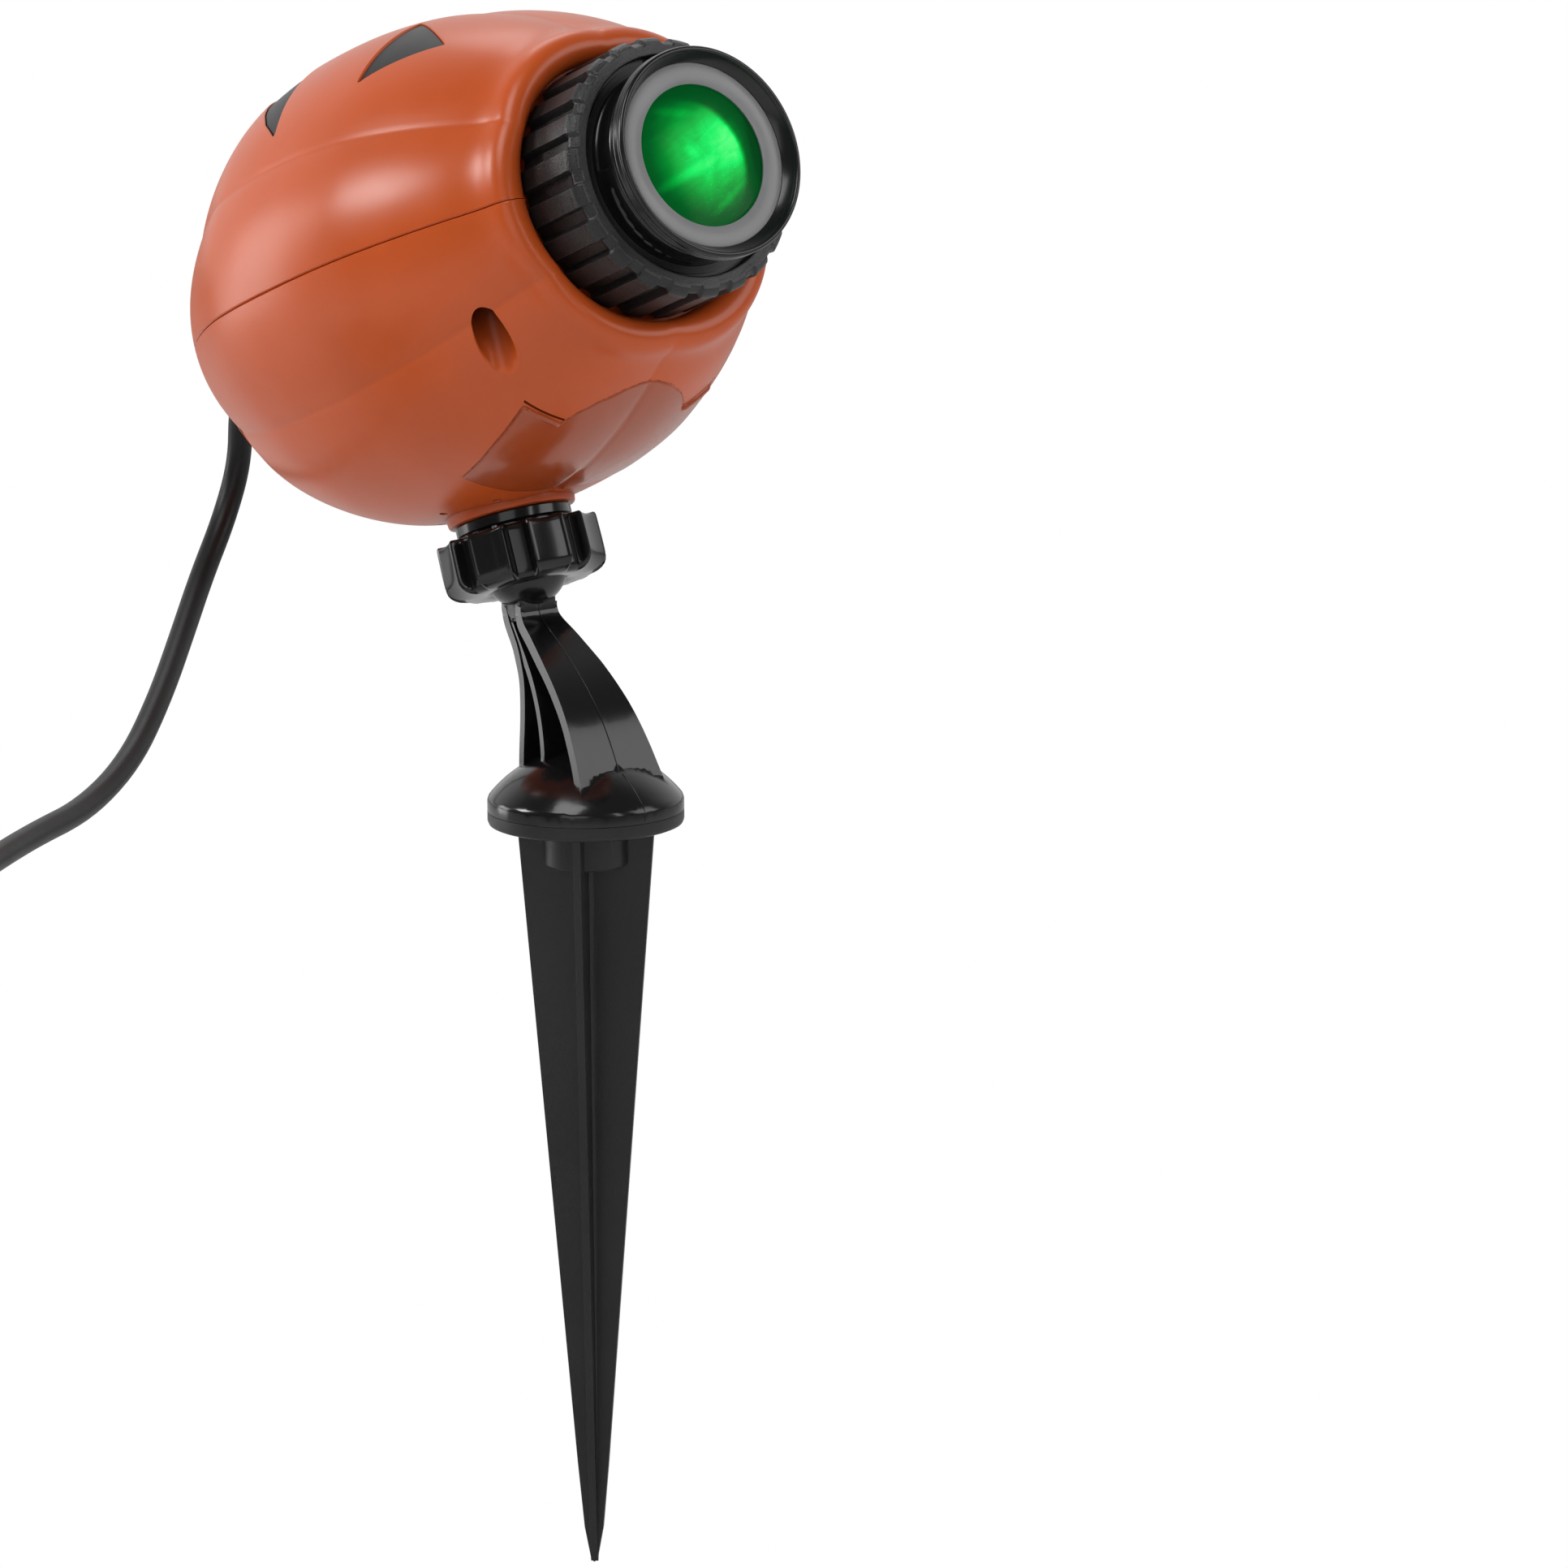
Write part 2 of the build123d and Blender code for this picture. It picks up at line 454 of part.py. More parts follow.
    def lens(s_edge0, s_edge1, r, sag0, sag1, r_curve):
        """Round lens: flat annular edge, convex faces of radius r_curve."""
        front = Spline([(x, -(s_edge1 + sag1 * (1 - (x / r_curve) ** 2)), 0) for x in [r_curve * k / 6 for k in range(7)]])
        back = Spline([(x, -(s_edge0 - sag0 * (1 - (x / r_curve) ** 2)), 0) for x in [r_curve * k / 6 for k in range(6, -1, -1)]])
        rim = Polyline([(r_curve, -s_edge1, 0), (r, -s_edge1, 0), (r, -s_edge0, 0), (r_curve, -s_edge0, 0)])
        return revolve(make_face(Wire([front, *rim.edges(), back, Line(back @ 1, front @ 0)])), Axis.Y, 360)

    pieces["front_lens"] = lens(106.3, 110.3, LENS_R, 1.5, 2.2, 18.0)
    pieces["lens_spacer"] = tube_s(74.0, 106.2, 20.6, LENS_R)
    pieces["rear_lens"] = lens(70.0, 73.9, LENS_R, 2.2, 1.5, 18.0)
    pieces["rear_lens_ring"] = tube_s(68.2, 69.9, 18.2, LENS_R)

    # ---- light engine
    lamp_tube = tube_s(10.0, 44.0, 23.4, 26.0) + tube_s(38.0, 41.0, 20.5, 23.6) + tube_s(10.0, 13.0, 23.4, 31.0)
    pieces["lamp_tube"] = lamp_tube
    pieces["slide_holder"] = tube_s(41.05, 43.9, 13.5, 23.3) - tube_s(42.4, 45.0, 0, 15.1)
    slide = tube_s(42.45, 43.6, 0, 15.0)
    pieces["pattern_slide"] = slide
    pieces["condenser_holder"] = tube_s(24.0, 37.95, 18.1, 23.3) - tube_s(28.0, 33.9, 0, 20.1)
    pieces["condenser_lens"] = lens(29.4, 32.4, 20.0, 4.8, 4.8, 17.9)
    pieces["led_board"] = tube_s(8.4, 9.9, 0, 22.0)
    pieces["green_led"] = block(-3.4, 3.4, -11.2, -9.9, -3.4, 3.4) + (Pos(0, -11.2, 0) * Sphere(2.6) & block(-4, 4, -16, -11.2, -4, 4))
    sink = block(-23.0, 23.0, -8.4, -4.0, -20.0, 20.0)
    for k in range(8):
        x = -22.0 + k * 6.0
        sink += block(x, x + 2.0, -4.5, 13.0, -20.0, 20.0)
    pieces["heat_sink"] = sink
    lugs = [(27.0, 13.5), (-27.0, 13.5), (27.0, -13.5), (-27.0, -13.5)]
    # four corner screws through the lamp tube's flange into the sink's side lugs
    for x, z in lugs:
        x0, x1 = (22.0, 30.0) if x > 0 else (-30.0, -22.0)
        sink += block(x0, x1, -8.4, -4.0, z - 4.0, z + 4.0)
    screws = []
    for x, z in lugs:
        hole = Pos(x, -9.0, z) * (Rot(90, 0, 0) * Cylinder(1.25, 12.0))
        sink -= hole
        lamp_tube -= hole
        shank = Pos(x, -9.0, z) * (Rot(90, 0, 0) * Cylinder(1.25, 9.9))
        head = Pos(x, -13.0 - 1.0, z) * (Rot(90, 0, 0) * Cylinder(2.4, 2.0))
        screws.append((shank & block(-40, 40, -13.0, -4.1, -40, 40)) + head)
    # spacer lip of the flange reaches back to the sink plate
    lugs_pad = None
    for x, z in lugs:
        pad_ = block(x - 3.4, x + 3.4, -10.0, -8.4, z - 3.4, z + 3.4) - (Pos(x, -9.0, z) * (Rot(90, 0, 0) * Cylinder(1.25, 12.0)))
        lamp_tube += pad_
    pieces["lamp_tube"] = lamp_tube
    pieces["heat_sink"] = sink
    pieces["heat_sink_screws"] = Compound(children=screws)

    # ---- driver board on its posts, mains capacitor and choke, screws
    board = block(-19.0, 19.0, 16.0, 46.0, -34.0, -32.4)
    for x in (-15.0, 15.0):
        for y in (20.0, 42.0):
            board -= cyl(x, y, -36, -31, 1.0)
    pieces["driver_board"] = board
    comps = [block(-11.0, 1.0, 20.0, 32.0, -32.4, -20.0), cyl(8.0, 37.0, -32.4, -18.0, 5.0), block(-12.0, -4.0, 35.0, 43.0, -32.4, -26.0),
             block(6.0, 12.0, 22.0, 28.0, -32.4, -28.0)]
    pieces["driver_components"] = Compound(children=comps)
    pieces["board_screws"] = Compound(children=[cyl(x, y, -32.4, -30.6, 1.9) + cyl(x, y, -42.0, -32.4, 1.0)
                                                for x in (-15.0, 15.0) for y in (20.0, 42.0)])

    # ---- cord clamp over the lead, with its two screws; the lead's end inside the head
    clamp = block(-12.5, 12.5, 53.4, 58.6, -3.2, 6.4) - tube_s(-66, -45, 0, CORD_BORE_R) - block(-6.2, 6.2, 53.0, 59.0, -3.3, -0.9)
    for x in (-9.0, 9.0):
        clamp -= cyl(x, 56.0, -5, 8, 1.1)
    pieces["cord_clamp"] = clamp
    pieces["clamp_screws"] = Compound(children=[cyl(x, 56.0, 6.4, 8.2, 2.1) + cyl(x, 56.0, -12.0, 6.4, 1.1) for x in (-9.0, 9.0)])
    pieces["cord_inner_end"] = tube_s(GLAND_TIP_S, -50.0, 0, CORD_BORE_R)
    wires = None
    wire_solids = []
    for x in (-1.6, 1.6):
        path = FilletPolyline([(x, 50.0, 0.0), (x, 46.4, 0.0), (x * 2.2, 44.6, -7.0), (x * 3, 44.8, -20.0), (x * 3, 44.8, -32.4)], radius=1.6)
        wire_solids.append(sweep(Plane(path @ 0, z_dir=path % 0) * Circle(1.0), path=path))
    pieces["lead_wires"] = Compound(children=wire_solids)
    led_wires = []
    for x in (-1.0, 1.0):
        path = FilletPolyline([(x * 8, 17.6, -32.4), (x * 8, 17.6, -27.5), (x * 5.5, 10.0, -23.6), (x * 4, -5.0, -23.6),
                               (x * 3, -9.15, -24.4), (x * 3, -9.15, -21.95)], radius=0.9)
        led_wires.append(sweep(Plane(path @ 0, z_dir=path % 0) * Circle(0.7), path=path))
    pieces["led_wires"] = Compound(children=led_wires)
    return pieces


# ================================================================ supply cord
TIP = world_point((0, -GLAND_TIP_S, 0))
ROUTE = [TIP, world_point((0.0, 102.03, 0.0)), (3.1, 156.3, 86.9), (5.0, 159.7, 72.3), (-0.6, 159.5, 57.5), (-13.2, 152.1, 44.5),
         (-29.4, 137.9, 32.6), (-48.8, 120.0, 20.6), (-71.1, 101.1, 9.4), (-97.0, 82.9, 3.25), (-124.5, 64.8, 3.25),
         (-150.0, 45.0, 3.25), (-173.4, 25.2, 3.25)]


def make_cord():
    pts = [Vector(*p) for p in ROUTE]
    radii = []
    for i in range(1, len(pts) - 1):
        a, b = pts[i] - pts[i - 1], pts[i + 1] - pts[i]
        turn = a.get_angle(b)
        radii.append(0.49 * min(a.length, b.length) / math.tan(math.radians(turn) / 2))
        print("cord corner %2d  run %5.1f  turn %5.1f deg  radius %6.1f" % (i, a.length, turn, radii[-1]))
    print("last run %.1f" % (pts[-1] - pts[-2]).length)
    path = FilletPolyline(pts, radius=radii)
    tube = sweep(Plane(path @ 0, z_dir=path % 0) * Circle(CORD_D / 2), path=path)
    length = path.length
    print("cord tube length %.1f  volume ratio %.4f" % (length, tube.volume / (length * math.pi * CORD_D ** 2 / 4)))
    cx, cy = COIL_CENTRE
    w, h = COIL_W / 2, COIL_H
    section = [(COIL_MEAN_R - w, 3.0), (COIL_MEAN_R - w + 3.0, 0.0), (COIL_MEAN_R + w - 3.0, 0.0), (COIL_MEAN_R + w, 3.0),
               (COIL_MEAN_R + w, h - 3.0), (COIL_MEAN_R + w - 3.0, h), (COIL_MEAN_R - w + 3.0, h), (COIL_MEAN_R - w, h - 3.0)]
    coil = turn_z(section, cx, cy)
    a, b = COIL_MEAN_R - w, COIL_MEAN_R + w
    outer = [(a - TIE_T, 2.5), (a + 1.3, 0.0), (b - 1.3, 0.0), (b + TIE_T, 2.5), (b + TIE_T, h - 2.5), (b - 2.5, h + TIE_T),
             (a + 2.5, h + TIE_T), (a - TIE_T, h - 2.5)]
    inner = [(a, 3.0), (a + 2.0, 1.0), (b - 2.0, 1.0), (b, 3.0), (b, h - 3.0), (b - 3.0, h), (a + 3.0, h), (a, h - 3.0)]
    bands = [extrude(Plane.XZ * make_face(Polyline(pts, close=True)), TIE_W / 2, both=True) for pts in (outer, inner)]
    tie = Pos(cx, cy, 0) * (Rot(0, 0, TIE_ANGLE) * (bands[0] - bands[1]))
    coil -= tie
    print("coil length about %.0f mm of cord" % (1800.0 - length))
    return tube, coil, tie


def make_plug():
    """Moulded two-pin plug lying on the ground beside the coil, where the cord leaves the coil's upper layer."""
    body = block(-14.0, 14.0, -12.0, 12.0, 0.0, 16.0)
    body = fillet(body.edges().filter_by(Axis.X), 4.0)
    body = body - block(4.0, 15.0, -13.0, -10.6, 2.5, 13.5) - block(4.0, 15.0, 10.6, 13.0, 2.5, 13.5)
    relief = Pos(-14.0, 0, 8.0) * (Rot(0, -90, 0) * Pos(0, 0, PLUG_RELIEF_L / 2) * Cone(6.0, 4.2, PLUG_RELIEF_L))
    body += relief
    pins = [block(14.0, 30.0, y - 0.75, y + 0.75, 8.0 - 3.2, 8.0 + 3.2) for y in (-6.35, 6.35)]
    place = Pos(PLUG_PLACE[0], PLUG_PLACE[1], 0) * Rot(0, 0, 90)
    return place * body, place * Compound(children=pins)


# ================================================================ build
save(make_stake(), "ground_stake")
save(make_bracket(), "bracket")
for name, shape in make_head().items():
    save(to_world(shape), name)
tube, coil, tie = make_cord()
save(tube, "cord_tube")
save(coil, "cord_coil")
save(tie, "cord_tie")
plug, pins = make_plug()
save(plug, "plug_body")
save(pins, "plug_pins")
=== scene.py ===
import math

import bmesh
import bpy
import numpy as np
from mathutils import Matrix, Vector, geometry


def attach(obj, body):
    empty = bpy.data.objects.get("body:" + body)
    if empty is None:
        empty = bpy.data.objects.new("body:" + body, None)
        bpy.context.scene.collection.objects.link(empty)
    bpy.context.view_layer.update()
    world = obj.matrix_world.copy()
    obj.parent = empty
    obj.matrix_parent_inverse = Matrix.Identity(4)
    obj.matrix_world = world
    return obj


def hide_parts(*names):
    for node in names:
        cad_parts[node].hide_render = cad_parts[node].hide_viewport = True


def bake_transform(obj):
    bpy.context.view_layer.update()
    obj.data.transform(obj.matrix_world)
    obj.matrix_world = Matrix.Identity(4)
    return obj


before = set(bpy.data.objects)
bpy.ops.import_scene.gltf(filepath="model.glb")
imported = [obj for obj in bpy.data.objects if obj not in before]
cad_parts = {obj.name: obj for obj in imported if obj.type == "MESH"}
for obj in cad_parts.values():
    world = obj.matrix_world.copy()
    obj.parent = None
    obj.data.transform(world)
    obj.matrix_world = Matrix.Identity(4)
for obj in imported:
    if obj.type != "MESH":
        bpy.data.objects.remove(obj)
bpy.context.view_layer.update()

SC = bpy.context.scene
SC.view_settings.view_transform = "Standard"
SC.view_settings.look = "None"
MM = 0.001

# ------------------------------------------------------------------ frames
TILT = math.radians(21.54)
CT, ST = math.cos(TILT), math.sin(TILT)
HC = (0.0, 52.19, 134.53)
SOCKET_Y = 1.0


def to_world(p):
    """Head-frame millimetres to row-frame millimetres."""
    p = np.asarray(p, float).reshape(-1, 3)
    return np.stack([p[:, 0] + HC[0], HC[1] + CT * p[:, 1] + ST * p[:, 2], HC[2] - ST * p[:, 1] + CT * p[:, 2]], 1)


def smooth(x):
    x = np.clip(x, 0.0, 1.0)
    return x * x * (3 - 2 * x)


# ------------------------------------------------------------------ camera
def make_camera():
    az = math.radians(-36.714)
    c = Vector((math.sin(az) * 2000.0, -math.cos(az) * 2000.0, 423.359))
    f = 9915.262
    f0 = (-c).normalized()
    r0 = f0.cross(Vector((0, 0, 1))).normalized()
    u0 = r0.cross(f0)
    fw = (f0 - r0 * (-244.517 / f) + u0 * (44.88 / f)).normalized()
    r = fw.cross(Vector((0, 0, 1))).normalized()
    u = r.cross(fw)
    a = math.radians(-0.393)
    rr, uu = r * math.cos(a) + u * math.sin(a), u * math.cos(a) - r * math.sin(a)
    data = bpy.data.cameras.new("camera")
    data.lens = f * 36.0 / 1932.0
    data.sensor_width = 36.0
    data.clip_start, data.clip_end = 0.05, 50.0
    cam = bpy.data.objects.new("camera", data)
    SC.collection.objects.link(cam)
    m = Matrix.Identity(4)
    for i in range(3):
        m[i][0], m[i][1], m[i][2], m[i][3] = rr[i], uu[i], -fw[i], c[i] * MM
    cam.matrix_world = m
    SC.camera = cam


make_camera()


# ------------------------------------------------------------------ mesh helpers
def mesh_obj(name, verts_mm, faces, head=True, recalc=True):
    v = to_world(verts_mm) if head else np.asarray(verts_mm, float)
    me = bpy.data.meshes.new(name)
    me.from_pydata([tuple(p) for p in (v * MM)], [], [tuple(int(i) for i in f) for f in faces])
    if recalc:
        bm = bmesh.new()
        bm.from_mesh(me)
        bmesh.ops.recalc_face_normals(bm, faces=bm.faces)
        bm.to_mesh(me)
        bm.free()
    me.update()
    ob = bpy.data.objects.new(name, me)
    SC.collection.objects.link(ob)
    return ob


def shade(ob, angle=35.0):
    me = ob.data
    me.polygons.foreach_set("use_smooth", [True] * len(me.polygons))
    me.set_sharp_from_angle(angle=math.radians(angle))
    me.update()


def boolean(ob, other, op):
    bpy.context.view_layer.update()
    for solver in ("MANIFOLD", "EXACT"):
        m = ob.modifiers.new("b", "BOOLEAN")
        m.operation, m.solver, m.object = op, solver, other
        dg = bpy.context.evaluated_depsgraph_get()
        me = bpy.data.meshes.new_from_object(ob.evaluated_get(dg))
        ob.modifiers.remove(m)
        if len(me.polygons) and len(me.vertices) != len(ob.data.vertices):
            old = ob.data
            me.name = old.name
            ob.data = me
            bpy.data.meshes.remove(old)
            break
    else:
        print("BOOLEAN had no effect:", ob.name, other.name, op)
    d = other.data
    bpy.data.objects.remove(other)
    bpy.data.meshes.remove(d)
    return ob


def join(obs, name):
    """One mesh from several separate ones."""
    vs, fs, n = [], [], 0
    for o in obs:
        vs += [tuple(v.co) for v in o.data.vertices]
        fs += [tuple(i + n for i in p.vertices) for p in o.data.polygons]
        n = len(vs)
    me = bpy.data.meshes.new(name)
    me.from_pydata(vs, [], fs)
    me.update()
    for o in obs:
        d = o.data
        bpy.data.objects.remove(o)
        bpy.data.meshes.remove(d)
    ob = bpy.data.objects.new(name, me)
    SC.collection.objects.link(ob)
    return ob


def loops(name, rings, closed_path=True, closed_ring=True, cap=False, head=True):
    """Mesh through rings (array rings x points x 3). closed_path joins the last ring to the first."""
    rings = np.asarray(rings, float)
    n, m = rings.shape[:2]
    idx = np.arange(n * m).reshape(n, m)
    faces = []
    for i in range(n if closed_path else n - 1):
        a, b = idx[i], idx[(i + 1) % n]
        for j in range(m if closed_ring else m - 1):
            k = (j + 1) % m
            faces.append((a[j], a[k], b[k], b[j]))
    if cap:
        faces.append(tuple(idx[0][::-1]))
        faces.append(tuple(idx[-1]))
    return mesh_obj(name, rings.reshape(-1, 3), faces, head=head)


def turned(name, path, steps=128, about="s", cx=0.0, cy=0.0, fn=None, head=True):
    """Closed (s, r) or (z, r) path turned about the optical axis or a vertical axis. fn(i, phi, r) may change the radius."""
    phi = np.arange(steps) * 2 * math.pi / steps
    rings = []
    for i, (s, r) in enumerate(path):
        rad = np.full(steps, float(r)) if fn is None else fn(i, phi, s, r)
        if about == "s":
            rings.append(np.stack([rad * np.cos(phi), np.full(steps, -float(s)), rad * np.sin(phi)], 1))
        else:
            z = np.full(steps, float(s))
            rings.append(np.stack([cx + rad * np.cos(phi), cy + rad * np.sin(phi), z], 1))
    return loops(name, rings, head=head)


def prism(name, poly, axis, lo, hi, head=True):
    """Polygon (a, b) pushed along an axis: 'x' takes (s, z), 'z' takes (x, y)."""
    n = len(poly)
    v = []
    for d in (lo, hi):
        for a, b in poly:
            v.append((d, -a, b) if axis == "x" else (a, b, d))
    faces = [(i, (i + 1) % n, n + (i + 1) % n, n + i) for i in range(n)]
    faces += [tuple(range(n))[::-1], tuple(range(n, 2 * n))]
    return mesh_obj(name, v, faces, head=head)


def spline(points, step=1.1):
    """Smooth curve through points, sampled evenly."""
    p = np.asarray(points, float)
    t = np.concatenate([[0], np.cumsum(np.linalg.norm(np.diff(p, axis=0), axis=1))])
    n = len(p)
    a = np.zeros((n, n))
    b = np.zeros((n, p.shape[1]))
    a[0, 0] = a[-1, -1] = 1
    for i in range(1, n - 1):
        h0, h1 = t[i] - t[i - 1], t[i + 1] - t[i]
        a[i, i - 1], a[i, i], a[i, i + 1] = h0, 2 * (h0 + h1), h1
        b[i] = 6 * ((p[i + 1] - p[i]) / h1 - (p[i] - p[i - 1]) / h0)
    m = np.linalg.solve(a, b)
    q = np.linspace(0, t[-1], max(2, int(round(t[-1] / step)) + 1))
    k = np.clip(np.searchsorted(t, q, side="right") - 1, 0, n - 2)
    h = (t[k + 1] - t[k])[:, None]
    u, w = (t[k + 1] - q)[:, None], (q - t[k])[:, None]
    return m[k] * u ** 3 / (6 * h) + m[k + 1] * w ** 3 / (6 * h) + (p[k] / h - m[k] * h / 6) * u + (p[k + 1] / h - m[k + 1] * h / 6) * w


def round_corners(poly, r=0.9, step=1.0):
    """Outline with small round corners, its long sides divided so that it can follow a curved surface."""
    p = [np.array(q, float) for q in poly]
    n = len(p)
    out = []
    for i in range(n):
        a, b, c = p[i - 1], p[i], p[(i + 1) % n]
        u, w = (a - b) / np.linalg.norm(a - b), (c - b) / np.linalg.norm(c - b)
        turn = math.degrees(math.acos(np.clip(-(u @ w), -1, 1)))
        if turn < 18:
            out.append(b)
            continue
        half = math.radians(180 - turn) / 2
        d = min(r / math.tan(half), 0.42 * np.linalg.norm(a - b), 0.42 * np.linalg.norm(c - b))
        s, e = b + u * d, b + w * d
        for k in range(5):
            q = k / 4
            out.append((1 - q) ** 2 * s + 2 * q * (1 - q) * b + q * q * e)
    dense = []
    for i in range(len(out)):
        a, b = out[i], out[(i + 1) % len(out)]
        d = np.linalg.norm(b - a)
        if d < 1e-6:
            continue
        k = max(1, int(math.ceil(d / step)))
        dense += [a + (b - a) * j / k for j in range(k)]
    return np.array(dense)


def grow(poly, d):
    """Outline moved outwards by d."""
    p = np.asarray(poly)
    area = np.sum(p[:, 0] * np.roll(p[:, 1], -1) - np.roll(p[:, 0], -1) * p[:, 1])
    sign = 1.0 if area > 0 else -1.0
    e = np.roll(p, -1, 0) - p
    e /= np.linalg.norm(e, axis=1)[:, None]
    nrm = np.stack([e[:, 1], -e[:, 0]], 1) * sign
    a = nrm + np.roll(nrm, 1, 0)
    k = np.maximum(1 + np.sum(nrm * np.roll(nrm, 1, 0), axis=1), 0.5)
    return p + a / k[:, None] * d


# ------------------------------------------------------------------ materials
def links(nt):
    return nt.nodes, nt.links


def plastic(name, rgb, rough=0.35, mottle=0.05, grain=0.0, grain_scale=2600.0, coat=0.0, spec=0.5, rough_var=0.05, edge_wear_and_highlight=0.0,
            metallic=0.0, broad=30.0, swirl=0.0, painted_shade_in_hollows=0.0):
    m = bpy.data.materials.new(name)
    m.use_nodes = True
    nd, ln = links(m.node_tree)
    nd.clear()
    out = nd.new("ShaderNodeOutputMaterial")
    b = nd.new("ShaderNodeBsdfPrincipled")
    ln.new(b.outputs[0], out.inputs[0])
    tc = nd.new("ShaderNodeTexCoord")
    n1 = nd.new("ShaderNodeTexNoise")
    n1.inputs["Scale"].default_value = broad
    n1.inputs["Detail"].default_value = 5
    ln.new(tc.outputs["Object"], n1.inputs["Vector"])
    r1 = nd.new("ShaderNodeValToRGB")
    r1.color_ramp.elements[0].position, r1.color_ramp.elements[1].position = 0.3, 0.7
    lo = [c * (1 - mottle) for c in rgb] + [1]
    hi = [min(1, c * (1 + mottle) + mottle * 0.01) for c in rgb] + [1]
    r1.color_ramp.elements[0].color, r1.color_ramp.elements[1].color = lo, hi
    ln.new(n1.outputs["Fac"], r1.inputs[0])
    color = r1.outputs[0]
    n2 = nd.new("ShaderNodeTexNoise")
    n2.inputs["Scale"].default_value = grain_scale
    n2.inputs["Detail"].default_value = 3
    ln.new(tc.outputs["Object"], n2.inputs["Vector"])
    # tiny specks in the colour, as moulded plastic has
    mx = nd.new("ShaderNodeMix")
    mx.data_type = "RGBA"
    mx.blend_type = "MULTIPLY"
    mx.inputs[0].default_value = 1.0
    r3 = nd.new("ShaderNodeMapRange")
    r3.inputs["To Min"].default_value, r3.inputs["To Max"].default_value = 1 - mottle * 0.6, 1 + mottle * 0.6
    ln.new(n2.outputs["Fac"], r3.inputs["Value"])
    ln.new(color, mx.inputs[6])
    ln.new(r3.outputs[0], mx.inputs[7])
    color = mx.outputs[2]
    # lighter colour on sharp convex edges: partly rubbed edge wear, partly a painted edge highlight
    if edge_wear_and_highlight:
        g = nd.new("ShaderNodeNewGeometry")
        r4 = nd.new("ShaderNodeMapRange")
        r4.inputs["From Min"].default_value, r4.inputs["From Max"].default_value = 0.52, 0.62
        r4.inputs["To Max"].default_value = edge_wear_and_highlight
        ln.new(g.outputs["Pointiness"], r4.inputs["Value"])
        mw = nd.new("ShaderNodeMix")
        mw.data_type = "RGBA"
        ln.new(r4.outputs[0], mw.inputs[0])
        ln.new(color, mw.inputs[6])
        mw.inputs[7].default_value = [min(1, c * 1.8 + 0.04) for c in rgb] + [1]
        color = mw.outputs[2]
    # painted shade: the colour and the specular level are darkened in hollows, recesses, creases and gaps that ambient
    # occlusion finds
    if painted_shade_in_hollows:
        ao = nd.new("ShaderNodeAmbientOcclusion")
        ao.samples = 8
        ao.only_local = True
        ao.inputs["Distance"].default_value = 0.011
        r5 = nd.new("ShaderNodeMapRange")
        r5.inputs["From Min"].default_value, r5.inputs["From Max"].default_value = 0.25, 0.90
        r5.inputs["To Min"].default_value, r5.inputs["To Max"].default_value = 1 - painted_shade_in_hollows, 1.0
        ln.new(ao.outputs["AO"], r5.inputs["Value"])
        md = nd.new("ShaderNodeMix")
        md.data_type = "RGBA"
        md.blend_type = "MULTIPLY"
        md.inputs[0].default_value = 1.0
        ln.new(color, md.inputs[6])
        ln.new(r5.outputs[0], md.inputs[7])
        color = md.outputs[2]
        ms = nd.new("ShaderNodeMath")
        ms.operation = "MULTIPLY"
        ms.inputs[1].default_value = spec
        ln.new(r5.outputs[0], ms.inputs[0])
        ln.new(ms.outputs[0], b.inputs["Specular IOR Level"])
    ln.new(color, b.inputs["Base Color"])
    r2 = nd.new("ShaderNodeMapRange")
    r2.inputs["To Min"].default_value, r2.inputs["To Max"].default_value = max(0.02, rough - rough_var), rough + rough_var
    n3 = nd.new("ShaderNodeTexNoise")
    n3.inputs["Scale"].default_value = broad * 4
    n3.inputs["Detail"].default_value = 6
    ln.new(tc.outputs["Object"], n3.inputs["Vector"])
    ln.new(n3.outputs["Fac"], r2.inputs["Value"])
    ln.new(r2.outputs[0], b.inputs["Roughness"])
    b.inputs["Specular IOR Level"].default_value = spec
    b.inputs["Metallic"].default_value = metallic
    b.inputs["Coat Weight"].default_value = coat
    b.inputs["Coat Roughness"].default_value = 0.06
    if grain or swirl:
        bp = nd.new("ShaderNodeBump")
        bp.inputs["Strength"].default_value = 1.0
        bp.inputs["Distance"].default_value = 0.0001
        mul = nd.new("ShaderNodeMath")
        mul.operation = "MULTIPLY"
        mul.inputs[1].default_value = grain
        ln.new(n2.outputs["Fac"], mul.inputs[0])
        h = mul.outputs[0]
        if swirl:
            mul2 = nd.new("ShaderNodeMath")
            mul2.operation = "MULTIPLY_ADD"
            mul2.inputs[1].default_value = swirl
            ln.new(n1.outputs["Fac"], mul2.inputs[0])
            ln.new(h, mul2.inputs[2])
            h = mul2.outputs[0]
        ln.new(h, bp.inputs["Height"])
        ln.new(bp.outputs[0], b.inputs["Normal"])
    return m


